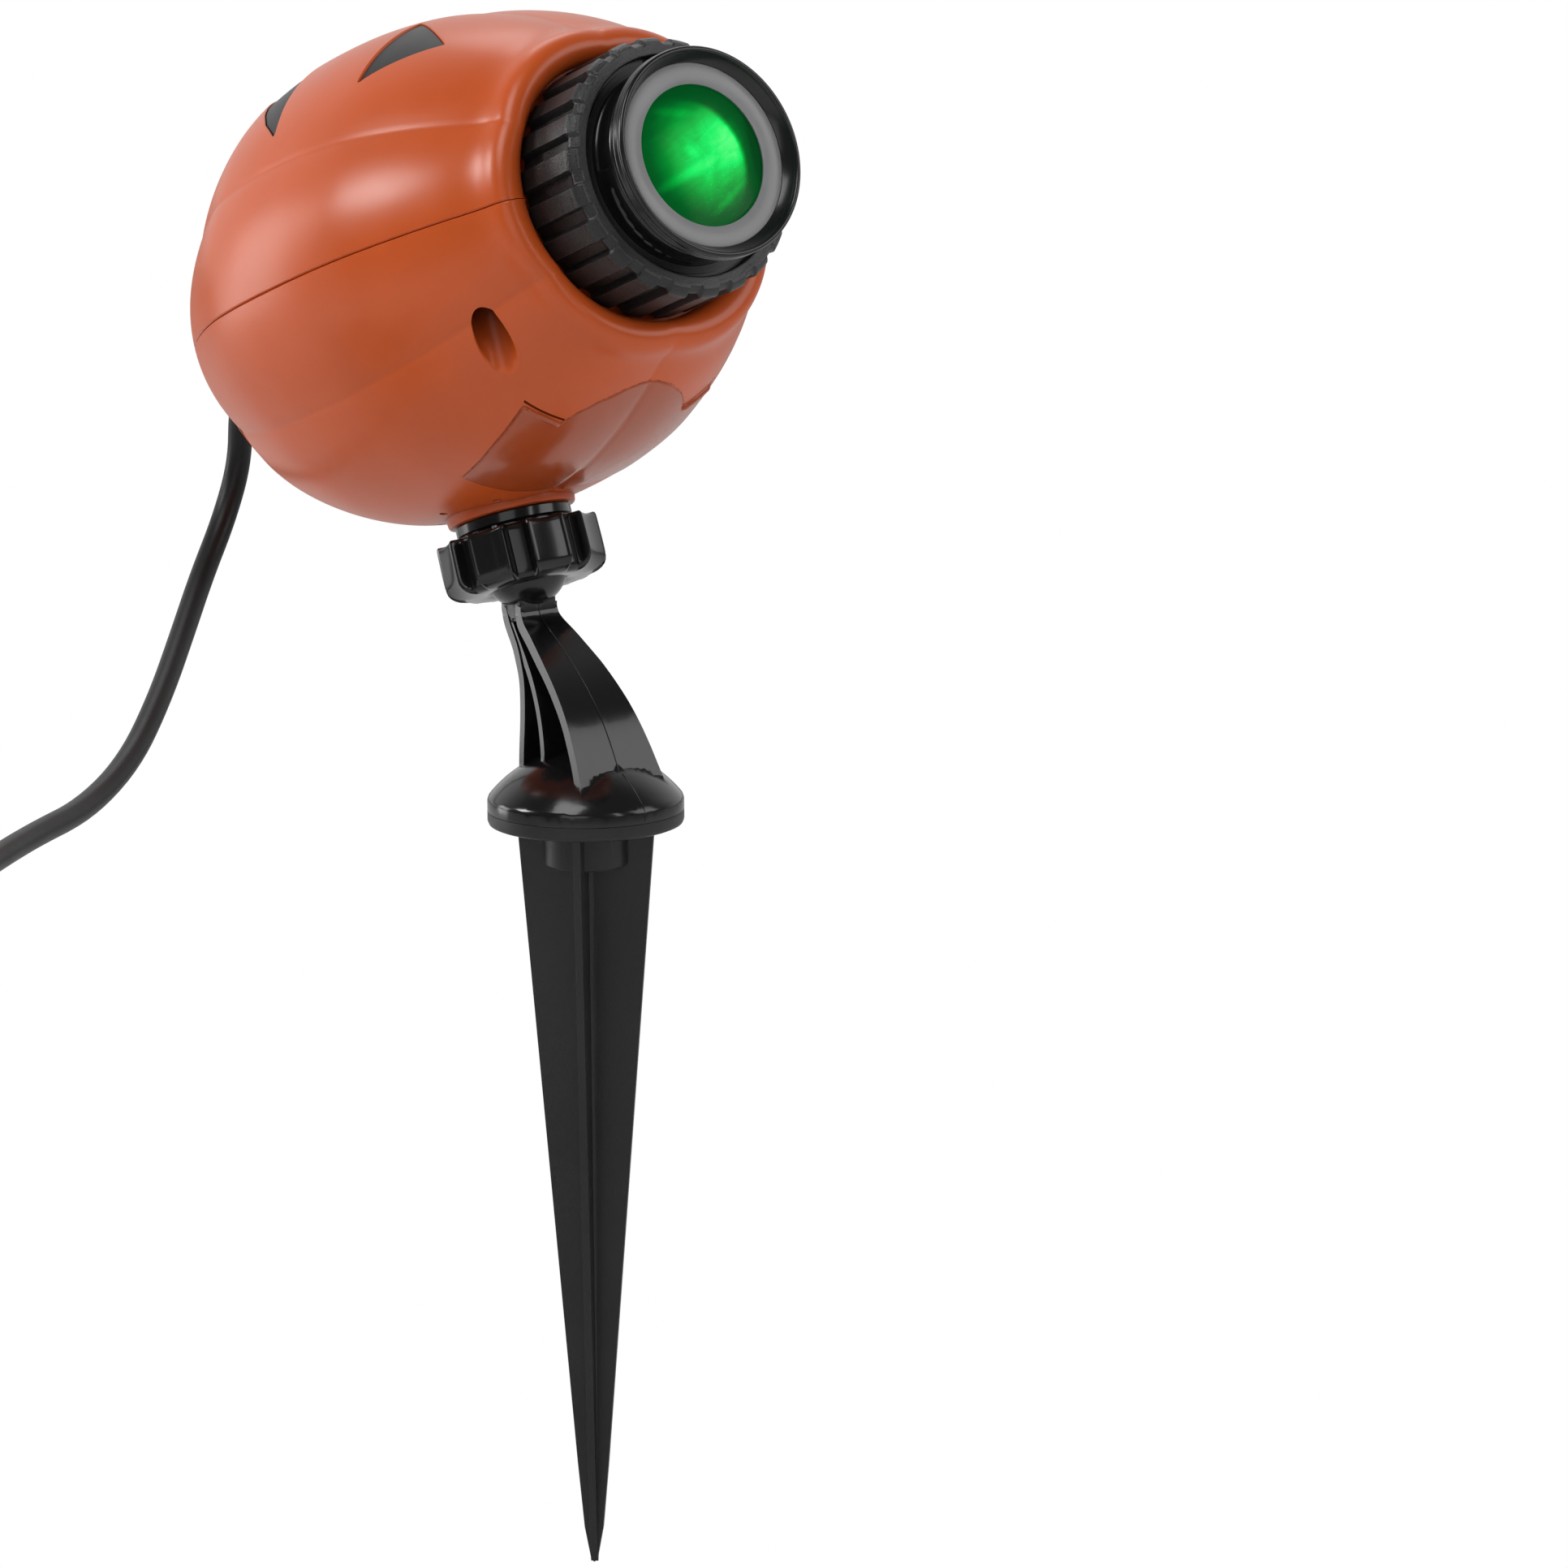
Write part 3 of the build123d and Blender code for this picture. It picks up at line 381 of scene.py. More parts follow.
def lens_green():
    m = bpy.data.materials.new("green_glass")
    m.use_nodes = True
    nd, ln = links(m.node_tree)
    nd.clear()
    out = nd.new("ShaderNodeOutputMaterial")
    b = nd.new("ShaderNodeBsdfPrincipled")
    ln.new(b.outputs[0], out.inputs[0])
    tc = nd.new("ShaderNodeTexCoord")
    c = to_world([(0, -111.0, 0)])[0] * MM
    sub = nd.new("ShaderNodeVectorMath")
    sub.operation = "SUBTRACT"
    sub.inputs[1].default_value = tuple(c)
    ln.new(tc.outputs["Object"], sub.inputs[0])
    rot = nd.new("ShaderNodeVectorRotate")
    rot.rotation_type = "X_AXIS"
    rot.inputs["Angle"].default_value = TILT
    ln.new(sub.outputs[0], rot.inputs["Vector"])
    scl = nd.new("ShaderNodeVectorMath")
    scl.operation = "SCALE"
    scl.inputs["Scale"].default_value = 1 / 0.018
    ln.new(rot.outputs[0], scl.inputs[0])
    p = scl.outputs[0]

    def blob(cx, cz, sx, sz, angle=0.0):
        mp = nd.new("ShaderNodeMapping")
        mp.vector_type = "TEXTURE"
        mp.inputs["Location"].default_value = (cx, 0, cz)
        mp.inputs["Rotation"].default_value = (0, angle, 0)
        mp.inputs["Scale"].default_value = (sx, 50, sz)
        ln.new(p, mp.inputs["Vector"])
        ln_ = nd.new("ShaderNodeVectorMath")
        ln_.operation = "LENGTH"
        ln.new(mp.outputs[0], ln_.inputs[0])
        r = nd.new("ShaderNodeMapRange")
        r.interpolation_type = "SMOOTHERSTEP"
        r.inputs["From Min"].default_value, r.inputs["From Max"].default_value = 1.0, 0.0
        ln.new(ln_.outputs["Value"], r.inputs["Value"])
        return r.outputs[0]

    def math_(op, a, bb):
        n = nd.new("ShaderNodeMath")
        n.operation = op
        for i, v in enumerate((a, bb)):
            if isinstance(v, (int, float)):
                n.inputs[i].default_value = v
            else:
                ln.new(v, n.inputs[i])
        return n.outputs[0]

    # soft drifting cloud, faint strokes and bright specks in the projected light
    mp = nd.new("ShaderNodeMapping")
    mp.vector_type = "TEXTURE"
    mp.inputs["Rotation"].default_value = (0, math.radians(-24), 0)
    mp.inputs["Scale"].default_value = (0.9, 1.0, 0.22)
    ln.new(p, mp.inputs["Vector"])
    st = nd.new("ShaderNodeTexNoise")
    st.inputs["Scale"].default_value = 1.3
    st.inputs["Detail"].default_value = 3
    st.inputs["Distortion"].default_value = 1.2
    ln.new(mp.outputs[0], st.inputs["Vector"])
    cl = nd.new("ShaderNodeTexNoise")
    cl.inputs["Scale"].default_value = 2.1
    cl.inputs["Detail"].default_value = 9
    cl.inputs["Roughness"].default_value = 0.62
    cl.inputs["Distortion"].default_value = 1.1
    ln.new(p, cl.inputs["Vector"])
    vo = nd.new("ShaderNodeTexVoronoi")
    vo.inputs["Scale"].default_value = 22
    ln.new(p, vo.inputs["Vector"])
    sp = nd.new("ShaderNodeMapRange")
    sp.inputs["From Min"].default_value, sp.inputs["From Max"].default_value = 0.13, 0.03
    ln.new(vo.outputs["Distance"], sp.inputs["Value"])
    disc = blob(0.0, 0.0, 1.12, 1.12)
    base = math_("MULTIPLY", disc, 0.62)
    glow = blob(0.40, 0.12, 0.50, 0.80, math.radians(10))
    hot = blob(0.58, 0.10, 0.20, 0.60, math.radians(8))
    swirl_ = blob(-0.22, 0.06, 0.22, 0.14, math.radians(20))
    ray1 = blob(-0.40, -0.26, 0.85, 0.13, math.radians(-20))
    ray2 = blob(0.28, -0.62, 0.60, 0.10, math.radians(-33))
    ray3 = blob(-0.30, 0.62, 0.55, 0.12, math.radians(8))
    dark = blob(1.02, 0.12, 0.30, 0.95, math.radians(4))
    s = math_("ADD", math_("ADD", base, 0.08), math_("MULTIPLY", glow, 0.10))
    s = math_("ADD", s, math_("MULTIPLY", hot, 0.10))
    s = math_("ADD", s, math_("MULTIPLY", swirl_, 0.16))
    s = math_("ADD", s, math_("MULTIPLY", ray1, 0.17))
    s = math_("ADD", s, math_("MULTIPLY", ray2, 0.14))
    s = math_("ADD", s, math_("MULTIPLY", ray3, 0.10))
    off = nd.new("ShaderNodeVectorMath")
    off.operation = "SUBTRACT"
    off.inputs[1].default_value = (-0.30, 0.0, -0.15)
    ln.new(p, off.inputs[0])
    flat = nd.new("ShaderNodeVectorMath")
    flat.operation = "MULTIPLY"
    flat.inputs[1].default_value = (1.0, 0.0, 1.0)
    ln.new(off.outputs[0], flat.inputs[0])
    dist = nd.new("ShaderNodeVectorMath")
    dist.operation = "LENGTH"
    ln.new(flat.outputs[0], dist.inputs[0])
    edge = nd.new("ShaderNodeMapRange")
    edge.interpolation_type = "SMOOTHSTEP"
    edge.inputs["From Min"].default_value, edge.inputs["From Max"].default_value = 1.03, 0.90
    ln.new(dist.outputs["Value"], edge.inputs["Value"])
    rise = nd.new("ShaderNodeMapRange")
    rise.interpolation_type = "SMOOTHSTEP"
    rise.inputs["From Min"].default_value, rise.inputs["From Max"].default_value = 0.30, 0.92
    ln.new(dist.outputs["Value"], rise.inputs["Value"])
    arc = math_("MULTIPLY", math_("MULTIPLY", edge.outputs[0], rise.outputs[0]), blob(0.46, 0.20, 0.75, 0.85))
    s = math_("ADD", s, math_("MULTIPLY", arc, 0.42))
    s = math_("SUBTRACT", s, math_("MULTIPLY", dark, 0.30))
    s = math_("MULTIPLY", s, math_("ADD", math_("MULTIPLY", edge.outputs[0], 0.50), 0.50))
    s = math_("MULTIPLY", s, math_("ADD", math_("MULTIPLY", st.outputs["Fac"], 0.42), 0.76))
    s = math_("MULTIPLY", s, math_("ADD", math_("MULTIPLY", cl.outputs["Fac"], 0.50), 0.72))
    s = math_("ADD", s, math_("MULTIPLY", math_("MULTIPLY", sp.outputs[0], blob(0.15, -0.40, 1.15, 0.9)), 0.85))
    ramp = nd.new("ShaderNodeValToRGB")
    e = ramp.color_ramp.elements
    e[0].position, e[0].color = 0.0, (0.0, 0.035, 0.006, 1)
    e[1].position, e[1].color = 1.0, (0.10, 1.0, 0.22, 1)
    for pos, col in ((0.12, (0.0, 0.085, 0.012, 1)), (0.30, (0.0, 0.25, 0.025, 1)), (0.52, (0.0, 0.50, 0.055, 1)), (0.72, (0.0, 0.84, 0.12, 1))):
        x = e.new(pos)
        x.color = col
    ln.new(s, ramp.inputs[0])
    ln.new(ramp.outputs[0], b.inputs["Emission Color"])
    b.inputs["Emission Strength"].default_value = 1.0
    b.inputs["Base Color"].default_value = (0.0, 0.03, 0.005, 1)
    b.inputs["Roughness"].default_value = 0.16
    b.inputs["Specular IOR Level"].default_value = 0.07
    return m


ORANGE = (0.61, 0.094, 0.014)
M = {
    # the orange shell material carries painted shade in its hollows
    "orange": plastic("orange_satin", ORANGE, rough=0.31, mottle=0.05, grain=0.10, grain_scale=3200, spec=0.45, rough_var=0.03, swirl=0.25,
                      painted_shade_in_hollows=0.85),
    "orange_gloss": plastic("orange_gloss", (0.40, 0.064, 0.012), rough=0.24, mottle=0.06, grain=0.01, coat=0.22, spec=0.5, rough_var=0.03, swirl=0.1),
    "black_gloss": plastic("black_gloss", (0.006, 0.006, 0.0065), rough=0.17, mottle=0.2, grain=0.01, coat=0.12, spec=0.45, rough_var=0.02,
                           edge_wear_and_highlight=0.1, swirl=0.2),
    "barrel_gloss": plastic("barrel_gloss", (0.0065, 0.0065, 0.007), rough=0.21, mottle=0.2, grain=0.006, coat=0.04, spec=0.45, rough_var=0.015, edge_wear_and_highlight=0.05),
    "black_satin": plastic("black_satin", (0.012, 0.012, 0.013), rough=0.42, mottle=0.2, grain=0.25, grain_scale=2200, spec=0.42, rough_var=0.06, edge_wear_and_highlight=0.3),
    "black_textured": plastic("black_textured", (0.010, 0.0105, 0.011), rough=0.36, mottle=0.3, grain=1.4, grain_scale=2200, spec=0.5, edge_wear_and_highlight=0.35),
    "ring_front": plastic("ring_front", (0.058, 0.058, 0.060), rough=0.46, mottle=0.6, grain=1.6, grain_scale=2400, spec=0.5, edge_wear_and_highlight=0.3),
    "black_face": plastic("black_face", (0.016, 0.016, 0.017), rough=0.42, mottle=0.15, grain=0.35, grain_scale=3000, spec=0.3, edge_wear_and_highlight=0.15),
    "grey_ring": plastic("grey_ring", (0.25, 0.25, 0.257), rough=0.36, mottle=0.08, grain=0.05, coat=0.1, spec=0.5, broad=60),
    "green_glass": lens_green(),
    "clear_glass": plastic("clear_glass", (0.75, 0.82, 0.80), rough=0.05, mottle=0.03, coat=1.0),
    "slide_glass": plastic("slide_glass", (0.10, 0.45, 0.20), rough=0.08, mottle=0.4, coat=1.0, broad=300),
    "led_green": plastic("led_green", (0.10, 0.80, 0.20), rough=0.20, mottle=0.1, coat=0.5),
    "circuit_board": plastic("circuit_board", (0.02, 0.12, 0.04), rough=0.35, mottle=0.25, broad=200),
    "component": plastic("component", (0.05, 0.05, 0.055), rough=0.4, mottle=0.3, broad=200),
    "aluminium": plastic("aluminium", (0.70, 0.71, 0.72), rough=0.32, mottle=0.05, metallic=1.0, grain=0.2),
    "steel": plastic("steel", (0.55, 0.55, 0.56), rough=0.28, mottle=0.06, metallic=1.0, grain=0.1, edge_wear_and_highlight=0.2),
    "brass": plastic("brass", (0.78, 0.57, 0.25), rough=0.24, mottle=0.06, metallic=1.0, grain=0.1),
    "cord": plastic("cord_rubber", (0.0045, 0.0045, 0.005), rough=0.42, mottle=0.2, grain=0.06, grain_scale=1800, spec=0.30, broad=60),
}


def put(ob, body, slot, replaces=(), angle=35.0, material=None):
    ob.data.materials.clear()
    ob.data.materials.append(M[material or slot])
    if angle:
        shade(ob, angle)
    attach(ob, body)
    if replaces:
        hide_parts(*replaces)
    return ob


# ------------------------------------------------------------------ supply cord
ROUTE = [(0.0, 134.046, 102.222), (0.0, 147.094, 97.071), (3.1, 156.3, 86.9), (5.0, 159.7, 72.3), (-0.6, 159.5, 57.5),
         (-13.2, 152.1, 44.5), (-29.4, 137.9, 32.6), (-48.8, 120.0, 20.6), (-71.1, 101.1, 9.4), (-97.0, 82.9, 3.3),
         (-124.5, 64.8, 3.3), (-150.0, 45.0, 3.3), (-173.4, 25.2, 3.3)]
COIL = (-208.0, 60.0)
CORD_R = 3.25


def coil_points():
    """Control points of the wound length: three turns inwards on the ground, then out again on top of them."""
    pts = []
    th0 = math.atan2(25.2 - COIL[1], -173.4 - COIL[0])
    per = 16
    last = 6.374
    k = 1
    while k / per <= last + 1e-6:
        t = k / per
        if t <= 3.0:
            r, z = 49.0 - 6.8 * t, 3.3
        elif t <= 3.5:
            r, z = 28.6, 3.3 + 6.6 * float(smooth(np.array((t - 3.0) / 0.45)))
        else:
            r, z = 28.6 + 6.8 * (t - 3.5), 9.9
        a = th0 - 2 * math.pi * t
        grow_r = r / 0.985
        pts.append((COIL[0] + grow_r * math.cos(a), COIL[1] + grow_r * math.sin(a), z))
        k += 1
    pts += [(-256.1, 66.0, 9.6), (-256.1, 73.0, 8.8), (-256.1, 80.8, 8.0), (-256.1, 88.0, 8.0)]
    return pts


def nurbs_points(points_mm):
    cu = bpy.data.curves.new("route", "CURVE")
    cu.dimensions = "3D"
    sp = cu.splines.new("NURBS")
    sp.points.add(len(points_mm) - 1)
    for q, p in zip(sp.points, points_mm):
        q.co = (p[0] * MM, p[1] * MM, p[2] * MM, 1)
    sp.order_u = 3
    sp.use_endpoint_u = True
    sp.resolution_u = 6
    ob = bpy.data.objects.new("route", cu)
    SC.collection.objects.link(ob)
    bpy.context.view_layer.update()
    dg = bpy.context.evaluated_depsgraph_get()
    me = bpy.data.meshes.new_from_object(ob.evaluated_get(dg))
    out = np.array([v.co for v in me.vertices], float) / MM
    bpy.data.objects.remove(ob)
    bpy.data.curves.remove(cu)
    bpy.data.meshes.remove(me)
    return out


def tube(name, c, radius, sides=20, profile=None):
    """Round tube through centre points in row-frame millimetres, closed with flat caps at both ends."""
    c = np.asarray(c, float)
    keep = np.concatenate([[True], np.linalg.norm(np.diff(c, axis=0), axis=1) > 0.05])
    c = c[keep]
    t = np.gradient(c, axis=0)
    t /= np.linalg.norm(t, axis=1)[:, None]
    n = np.cross(t[0], (0, 0, 1.0))
    if np.linalg.norm(n) < 0.1:
        n = np.cross(t[0], (1.0, 0, 0))
    n /= np.linalg.norm(n)
    ring = []
    phi = np.arange(sides) * 2 * math.pi / sides
    for i in range(len(c)):
        if i:
            n = n - t[i] * (n @ t[i])
            n /= np.linalg.norm(n)
        b = np.cross(t[i], n)
        r = radius if profile is None else profile[i]
        ring.append(c[i] + r * (np.cos(phi)[:, None] * n + np.sin(phi)[:, None] * b))
    return loops(name, ring, closed_path=False, cap=True, head=False), c


def make_cord():
    line = nurbs_points(ROUTE + coil_points())
    ob, c = tube("supply_cord", line, CORD_R, 22)
    length = float(np.sum(np.linalg.norm(np.diff(c, axis=0), axis=1)))
    print("CORD length mm", round(length, 1), "points", len(c))
    ob.data.materials.append(M["cord"])
    shade(ob, 60)
    # plug: body with waisted grips, ribbed relief, pins
    x0, y0 = -256.1, 124.8
    rings = []
    m = 40
    ph = np.arange(m) * 2 * math.pi / m

    def superellipse(w, h, e):
        cx, cz = np.cos(ph), np.sin(ph)
        return np.sign(cx) * np.abs(cx) ** (2 / e) * w, np.sign(cz) * np.abs(cz) ** (2 / e) * h
    for y, w, h, e in ((-14.0, 5.0, 4.2, 2.2), (-13.9, 8.0, 6.2, 2.6), (-13.0, 9.6, 7.0, 3.0), (-11.0, 10.6, 7.5, 3.6), (-6.0, 11.3, 7.8, 4.2),
                       (-3.0, 11.5, 7.9, 4.2), (-1.5, 10.7, 7.8, 4.2), (1.0, 10.4, 7.8, 4.2), (4.5, 10.6, 7.8, 4.2), (7.0, 11.2, 7.9, 4.4),
                       (9.5, 11.9, 8.0, 5.0), (12.6, 12.0, 8.0, 5.0), (13.6, 11.7, 7.7, 5.0), (14.0, 11.0, 7.0, 5.0), (14.0, 4.0, 3.0, 4.0)):
        a, b = superellipse(w, h, e)
        rings.append(np.stack([x0 + a, np.full(m, y0 + y), 8.0 + b], 1))
    body = loops("plug", rings, closed_path=False, cap=True, head=False)
    put(body, "bracket", "cord", ["plug_body"], 30)
    ys, rs = [], []
    for k in range(0, 61):
        y = 80.6 + k * 0.5
        u = k / 60
        base = 4.1 + 1.5 * u
        notch = 0.75 * float(smooth(np.array(1 - abs(((u * 8) % 1) - 0.5) / 0.22))) if 0.06 < u < 0.94 else 0.0
        ys.append(y)
        rs.append(base - notch)
    ys += [111.2, 112.5]
    rs += [5.8, 5.9]
    rel, _ = tube("plug_strain_relief", [(x0, y, 8.0) for y in ys], 4.0, 32, rs)
    put(rel, "bracket", "cord", (), 40)
    pins = []
    for px in (-6.35, 6.35):
        poly = []
        for (yy, zz) in ((0, -3.2), (14.6, -3.2), (15.6, -2.5), (16.0, -1.2), (16.0, 1.2), (15.6, 2.5), (14.6, 3.2), (0, 3.2)):
            poly.append((yy, zz))
        v = [(x0 + px + d, y0 + 13.8 + a * 16.2 / 16.0, 8.0 + b) for d in (-0.75, 0.75) for a, b in poly]
        n = len(poly)
        f = [(i, (i + 1) % n, n + (i + 1) % n, n + i) for i in range(n)] + [tuple(range(n)), tuple(range(n, 2 * n))]
        pins.append(mesh_obj("pin", v, f, head=False))
    pin = join(pins, "plug_blades")
    put(pin, "bracket", "brass", ["plug_pins"], 30)
    w, h, lo = 13.6, 13.2, 0.0
    sec = []
    for cx_, cz_, a0, a1 in ((-w + 3.4, 9.9, 180, 90), (w - 3.4, 9.9, 90, 0), (w - 3.4, 3.4, 0, -90), (-w + 3.4, 3.4, -90, -180)):
        for a in np.radians(np.linspace(a0, a1, 9)):
            sec.append((cx_ + 3.5 * math.cos(a), cz_ + 3.4 * math.sin(a), math.cos(a), math.sin(a)))
    ta = math.radians(62.0)
    ca, sa = math.cos(ta), math.sin(ta)

    def strap(name_, ring, width, t0, t1, y_off=0.0):
        rr = []
        for x_, z_, nx, nz in ring:
            row = []
            for t, y in ((t0, -width / 2), (t1, -width / 2 + 0.25), (t1, width / 2 - 0.25), (t0, width / 2)):
                rad, yy = 38.8 + x_ + nx * t, y + y_off
                row.append((COIL[0] + rad * ca - yy * sa, COIL[1] + rad * sa + yy * ca, max(z_ + nz * t, 0.15 if t == t0 else 0.02)))
            rr.append(row)
        return rr
    tie1 = loops("tie", strap("a", sec, 7.6, 0.0, 0.85), head=False)
    over = [q for q in sec[5:14]]
    tie2 = loops("tie", strap("b", over, 7.2, 0.8, 1.6), closed_path=False, cap=True, head=False)
    tie = join([tie1, tie2], "cord_tie_strap")
    put(tie, "bracket", "black_satin", ["cord_tie"], 40)
    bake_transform(ob)
    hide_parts("cord_tube", "cord_coil")


make_cord()

# ------------------------------------------------------------------ head surface
PROFILE = [(-70.5, 12.0), (-70.5, 20.0), (-69.9, 27.0), (-68.0, 33.0), (-64.5, 38.5), (-59.2, 43.5), (-51.8, 48.8), (-44.2, 53.0),
           (-36.6, 56.5), (-29.0, 59.4), (-21.2, 61.6), (-13.5, 62.8), (-5.8, 63.5), (1.9, 63.7), (9.7, 63.6), (17.6, 63.2),
           (26.0, 62.3), (34.6, 60.9), (43.3, 58.6), (52.4, 55.5), (62.4, 51.3), (69.5, 47.7), (74.3, 45.0), (77.8, 43.6),
           (80.4, 42.9), (82.5, 41.8), (83.8, 40.0), (84.1, 38.0), (83.5, 36.0), (82.0, 34.4), (80.0, 33.65), (77.8, 33.45)]
CURVE = spline(PROFILE, 1.15)
CURVE[:, 0] = np.maximum(CURVE[:, 0], -70.5)
LIP_I = int(np.argmax(CURVE[:, 0]))
SS, RS = CURVE[:LIP_I + 1, 0], CURVE[:LIP_I + 1, 1]
OFF = 12.0


def depth(r, phi):
    """How far the creased section lies inside the round one."""
    rl = np.maximum(r, 30.0) - OFF
    d = np.mod(phi + math.pi / 6, math.pi / 3) - math.pi / 6
    k = 4.0
    vals = []
    for shift in (0.0, math.pi / 3, -math.pi / 3):
        a = d - shift
        vals.append(OFF * np.cos(a) + np.sqrt(np.maximum(rl ** 2 - (OFF * np.sin(a)) ** 2, 0)))
    v = np.stack(vals)
    top = v.max(0)
    soft = top + np.log(np.sum(np.exp(k * (v - top)), 0)) / k
    arc = (math.pi / 6 - np.abs(d)) * np.maximum(r, 30.0)
    return rl + OFF - soft + 0.22 * np.exp(-(arc / 0.9) ** 2)


def fade(s):
    return smooth((s + 69.0) / 15.0) * (1 - 0.30 * smooth((s - 66.0) / 16.0))


def z_of(x, y, drop, sign):
    """Height of the surface, lowered by drop, over plan points."""
    x, y = np.asarray(x, float), np.asarray(y, float)
    r0 = np.interp(-y, SS, RS)
    f = fade(-y)
    z = np.sqrt(np.maximum(r0 ** 2 - x ** 2, 1.0)) * sign
    for _ in range(12):
        phi = np.arctan2(z, x)
        r = r0 - f * depth(r0, phi) - drop
        z = np.sqrt(np.maximum(r ** 2 - x ** 2, 1.0)) * sign
    return z


def half_solid(name, top, drop=0.0, thick=3.0, chamfer=0.36, gap=0.11, cols=216):
    o = CURVE.copy()
    n0 = len(o)
    f = fade(o[:, 0])
    f[LIP_I:] *= np.clip((o[LIP_I:, 1] - 33.9) / 4.1, 0, 1)
    o[:, 1] -= drop
    o[:, 0] *= (1 - drop / 78.0)
    extra = np.array([(77.5, 33.2), (77.5, 31.5), (77.5, 29.2)])
    ti = np.gradient(o, axis=0)
    ti /= np.linalg.norm(ti, axis=1)[:, None]
    inner = o + np.stack([ti[:, 1], -ti[:, 0]], 1) * thick
    o = np.vstack([o, extra])
    f = np.concatenate([f, np.zeros(3)])
    k = int(np.argmax(o[:, 0] > 64.0))
    pts = np.array([inner[k], (73.6, inner[k][1] - 4.0), (74.2, 38.0), (74.4, 29.2)])
    t = np.concatenate([[0], np.cumsum(np.linalg.norm(np.diff(pts, axis=0), axis=1))])
    q = np.linspace(0, t[-1], len(o) - k)
    tail = np.stack([np.interp(q, t, pts[:, 0]), np.interp(q, t, pts[:, 1])], 1)
    inner = np.vstack([inner[:k], tail])
    inner[:, 1] -= 0.9 * np.concatenate([f[:k], np.zeros(len(o) - k)])
    sgn = 1.0 if top else -1.0
    n = len(o)

    def rows(path, ff, cham):
        out = []
        r = path[:, 1]
        a0 = np.arcsin(np.clip(gap / r, 0, 1))
        a1 = np.arcsin(np.clip((gap + chamfer) / r, 0, 1))
        a2 = np.arcsin(np.clip((gap + chamfer + 0.45) / r, 0, 1))
        us = np.linspace(0, 1, cols)
        seq = [(a0, cham), (a1, 0.0)] + [(a2 + (math.pi - 2 * a2) * u, 0.0) for u in us] + [(math.pi - a1, 0.0), (math.pi - a0, cham)]
        for a, c in seq:
            rad = r - ff * depth(r, a) - c
            out.append(np.stack([rad * np.cos(a), -path[:, 0], sgn * rad * np.sin(a)], 1))
        return np.array(out)
    a, b = rows(o, f, chamfer), rows(inner, f * 0, 0.0)
    m = a.shape[0]
    v = np.concatenate([a.reshape(-1, 3), b.reshape(-1, 3)])
    ia = np.arange(m * n).reshape(m, n)
    ib = ia + m * n
    faces = []
    for j in range(m - 1):
        for i in range(n - 1):
            faces.append((ia[j, i], ia[j, i + 1], ia[j + 1, i + 1], ia[j + 1, i]))
            faces.append((ib[j, i], ib[j + 1, i], ib[j + 1, i + 1], ib[j, i + 1]))
        faces.append((ia[j, 0], ia[j + 1, 0], ib[j + 1, 0], ib[j, 0]))
        faces.append((ia[j, n - 1], ib[j, n - 1], ib[j + 1, n - 1], ia[j + 1, n - 1]))
    for j in (0, m - 1):
        for i in range(n - 1):
            faces.append((ia[j, i], ib[j, i], ib[j, i + 1], ia[j, i + 1]))
    return mesh_obj(name, v, faces)


def column(name, poly, levels, sign):
    """Closed cutter that follows the surface: levels are (height or None, drop, growth)."""
    n = len(poly)
    v = []
    for z, drop, g in levels:
        p = grow(poly, g) if abs(g) > 1e-9 else np.asarray(poly)
        zz = np.full(n, z) if z is not None else z_of(p[:, 0], p[:, 1], drop, sign)
        v.append(np.stack([p[:, 0], p[:, 1], zz], 1))
    faces = []
    for k in range(len(levels) - 1):
        for i in range(n):
            j = (i + 1) % n
            faces.append((k * n + i, k * n + j, (k + 1) * n + j, (k + 1) * n + i))
    for k in (0, len(levels) - 1):
        tri = geometry.tessellate_polygon([[Vector((p[0], p[1], 0)) for p in v[k]]])
        faces += [(k * n + a, k * n + b, k * n + c) for a, b, c in tri]
    return mesh_obj(name, np.concatenate(v), faces)


EYE = [(-41.2, -34.2), (-15.8, -31.8), (-27.1, -55.0)]
NOSE = [(0.0, -22.8), (9.1, -8.4), (-9.1, -8.4)]
MOUTH = [(-48.5, -4.1), (-41.0, -1.4), (-33.0, 1.0), (-22.0, 3.9), (-22.0, 14.6), (-15.7, 14.9), (-15.7, 5.2), (-8.0, 6.3),
         (0.0, 7.1), (8.0, 6.3), (15.7, 5.2), (22.0, 3.9), (33.0, 1.0), (41.0, -1.4), (48.5, -4.1), (43.9, 4.8), (39.0, 11.2),
         (32.5, 17.9), (22.1, 24.9), (22.1, 21.7), (15.6, 21.6), (15.6, 28.3), (8.0, 30.2), (0.0, 31.2), (-8.0, 30.2),
         (-15.6, 28.3), (-25.0, 23.3), (-32.5, 17.9), (-39.0, 11.2), (-43.9, 4.8)]
COVER = [(-28.8, -21.7), (-15.0, -20.4), (0.0, -19.9), (15.0, -20.4), (28.8, -21.7), (29.9, -38.0), (29.6, -55.2),
         (19.0, -54.0), (16.6, -58.6), (12.6, -63.4), (7.4, -67.2), (2.6, -68.8), (-2.6, -68.8), (-7.4, -67.2), (-12.6, -63.4),
         (-16.6, -58.6), (-19.0, -54.0), (-29.6, -55.2), (-29.9, -38.0)]
SCREWS = [(-39.0, -62.5), (39.0, -62.5), (-37.0, 55.5), (37.0, 55.5)]


def mirrored(p):
    return [(-x, y) for x, y in reversed(p)]


FACES = {"left_eye_inlay": EYE, "right_eye_inlay": mirrored(EYE), "nose_inlay": NOSE, "mouth_inlay": MOUTH}

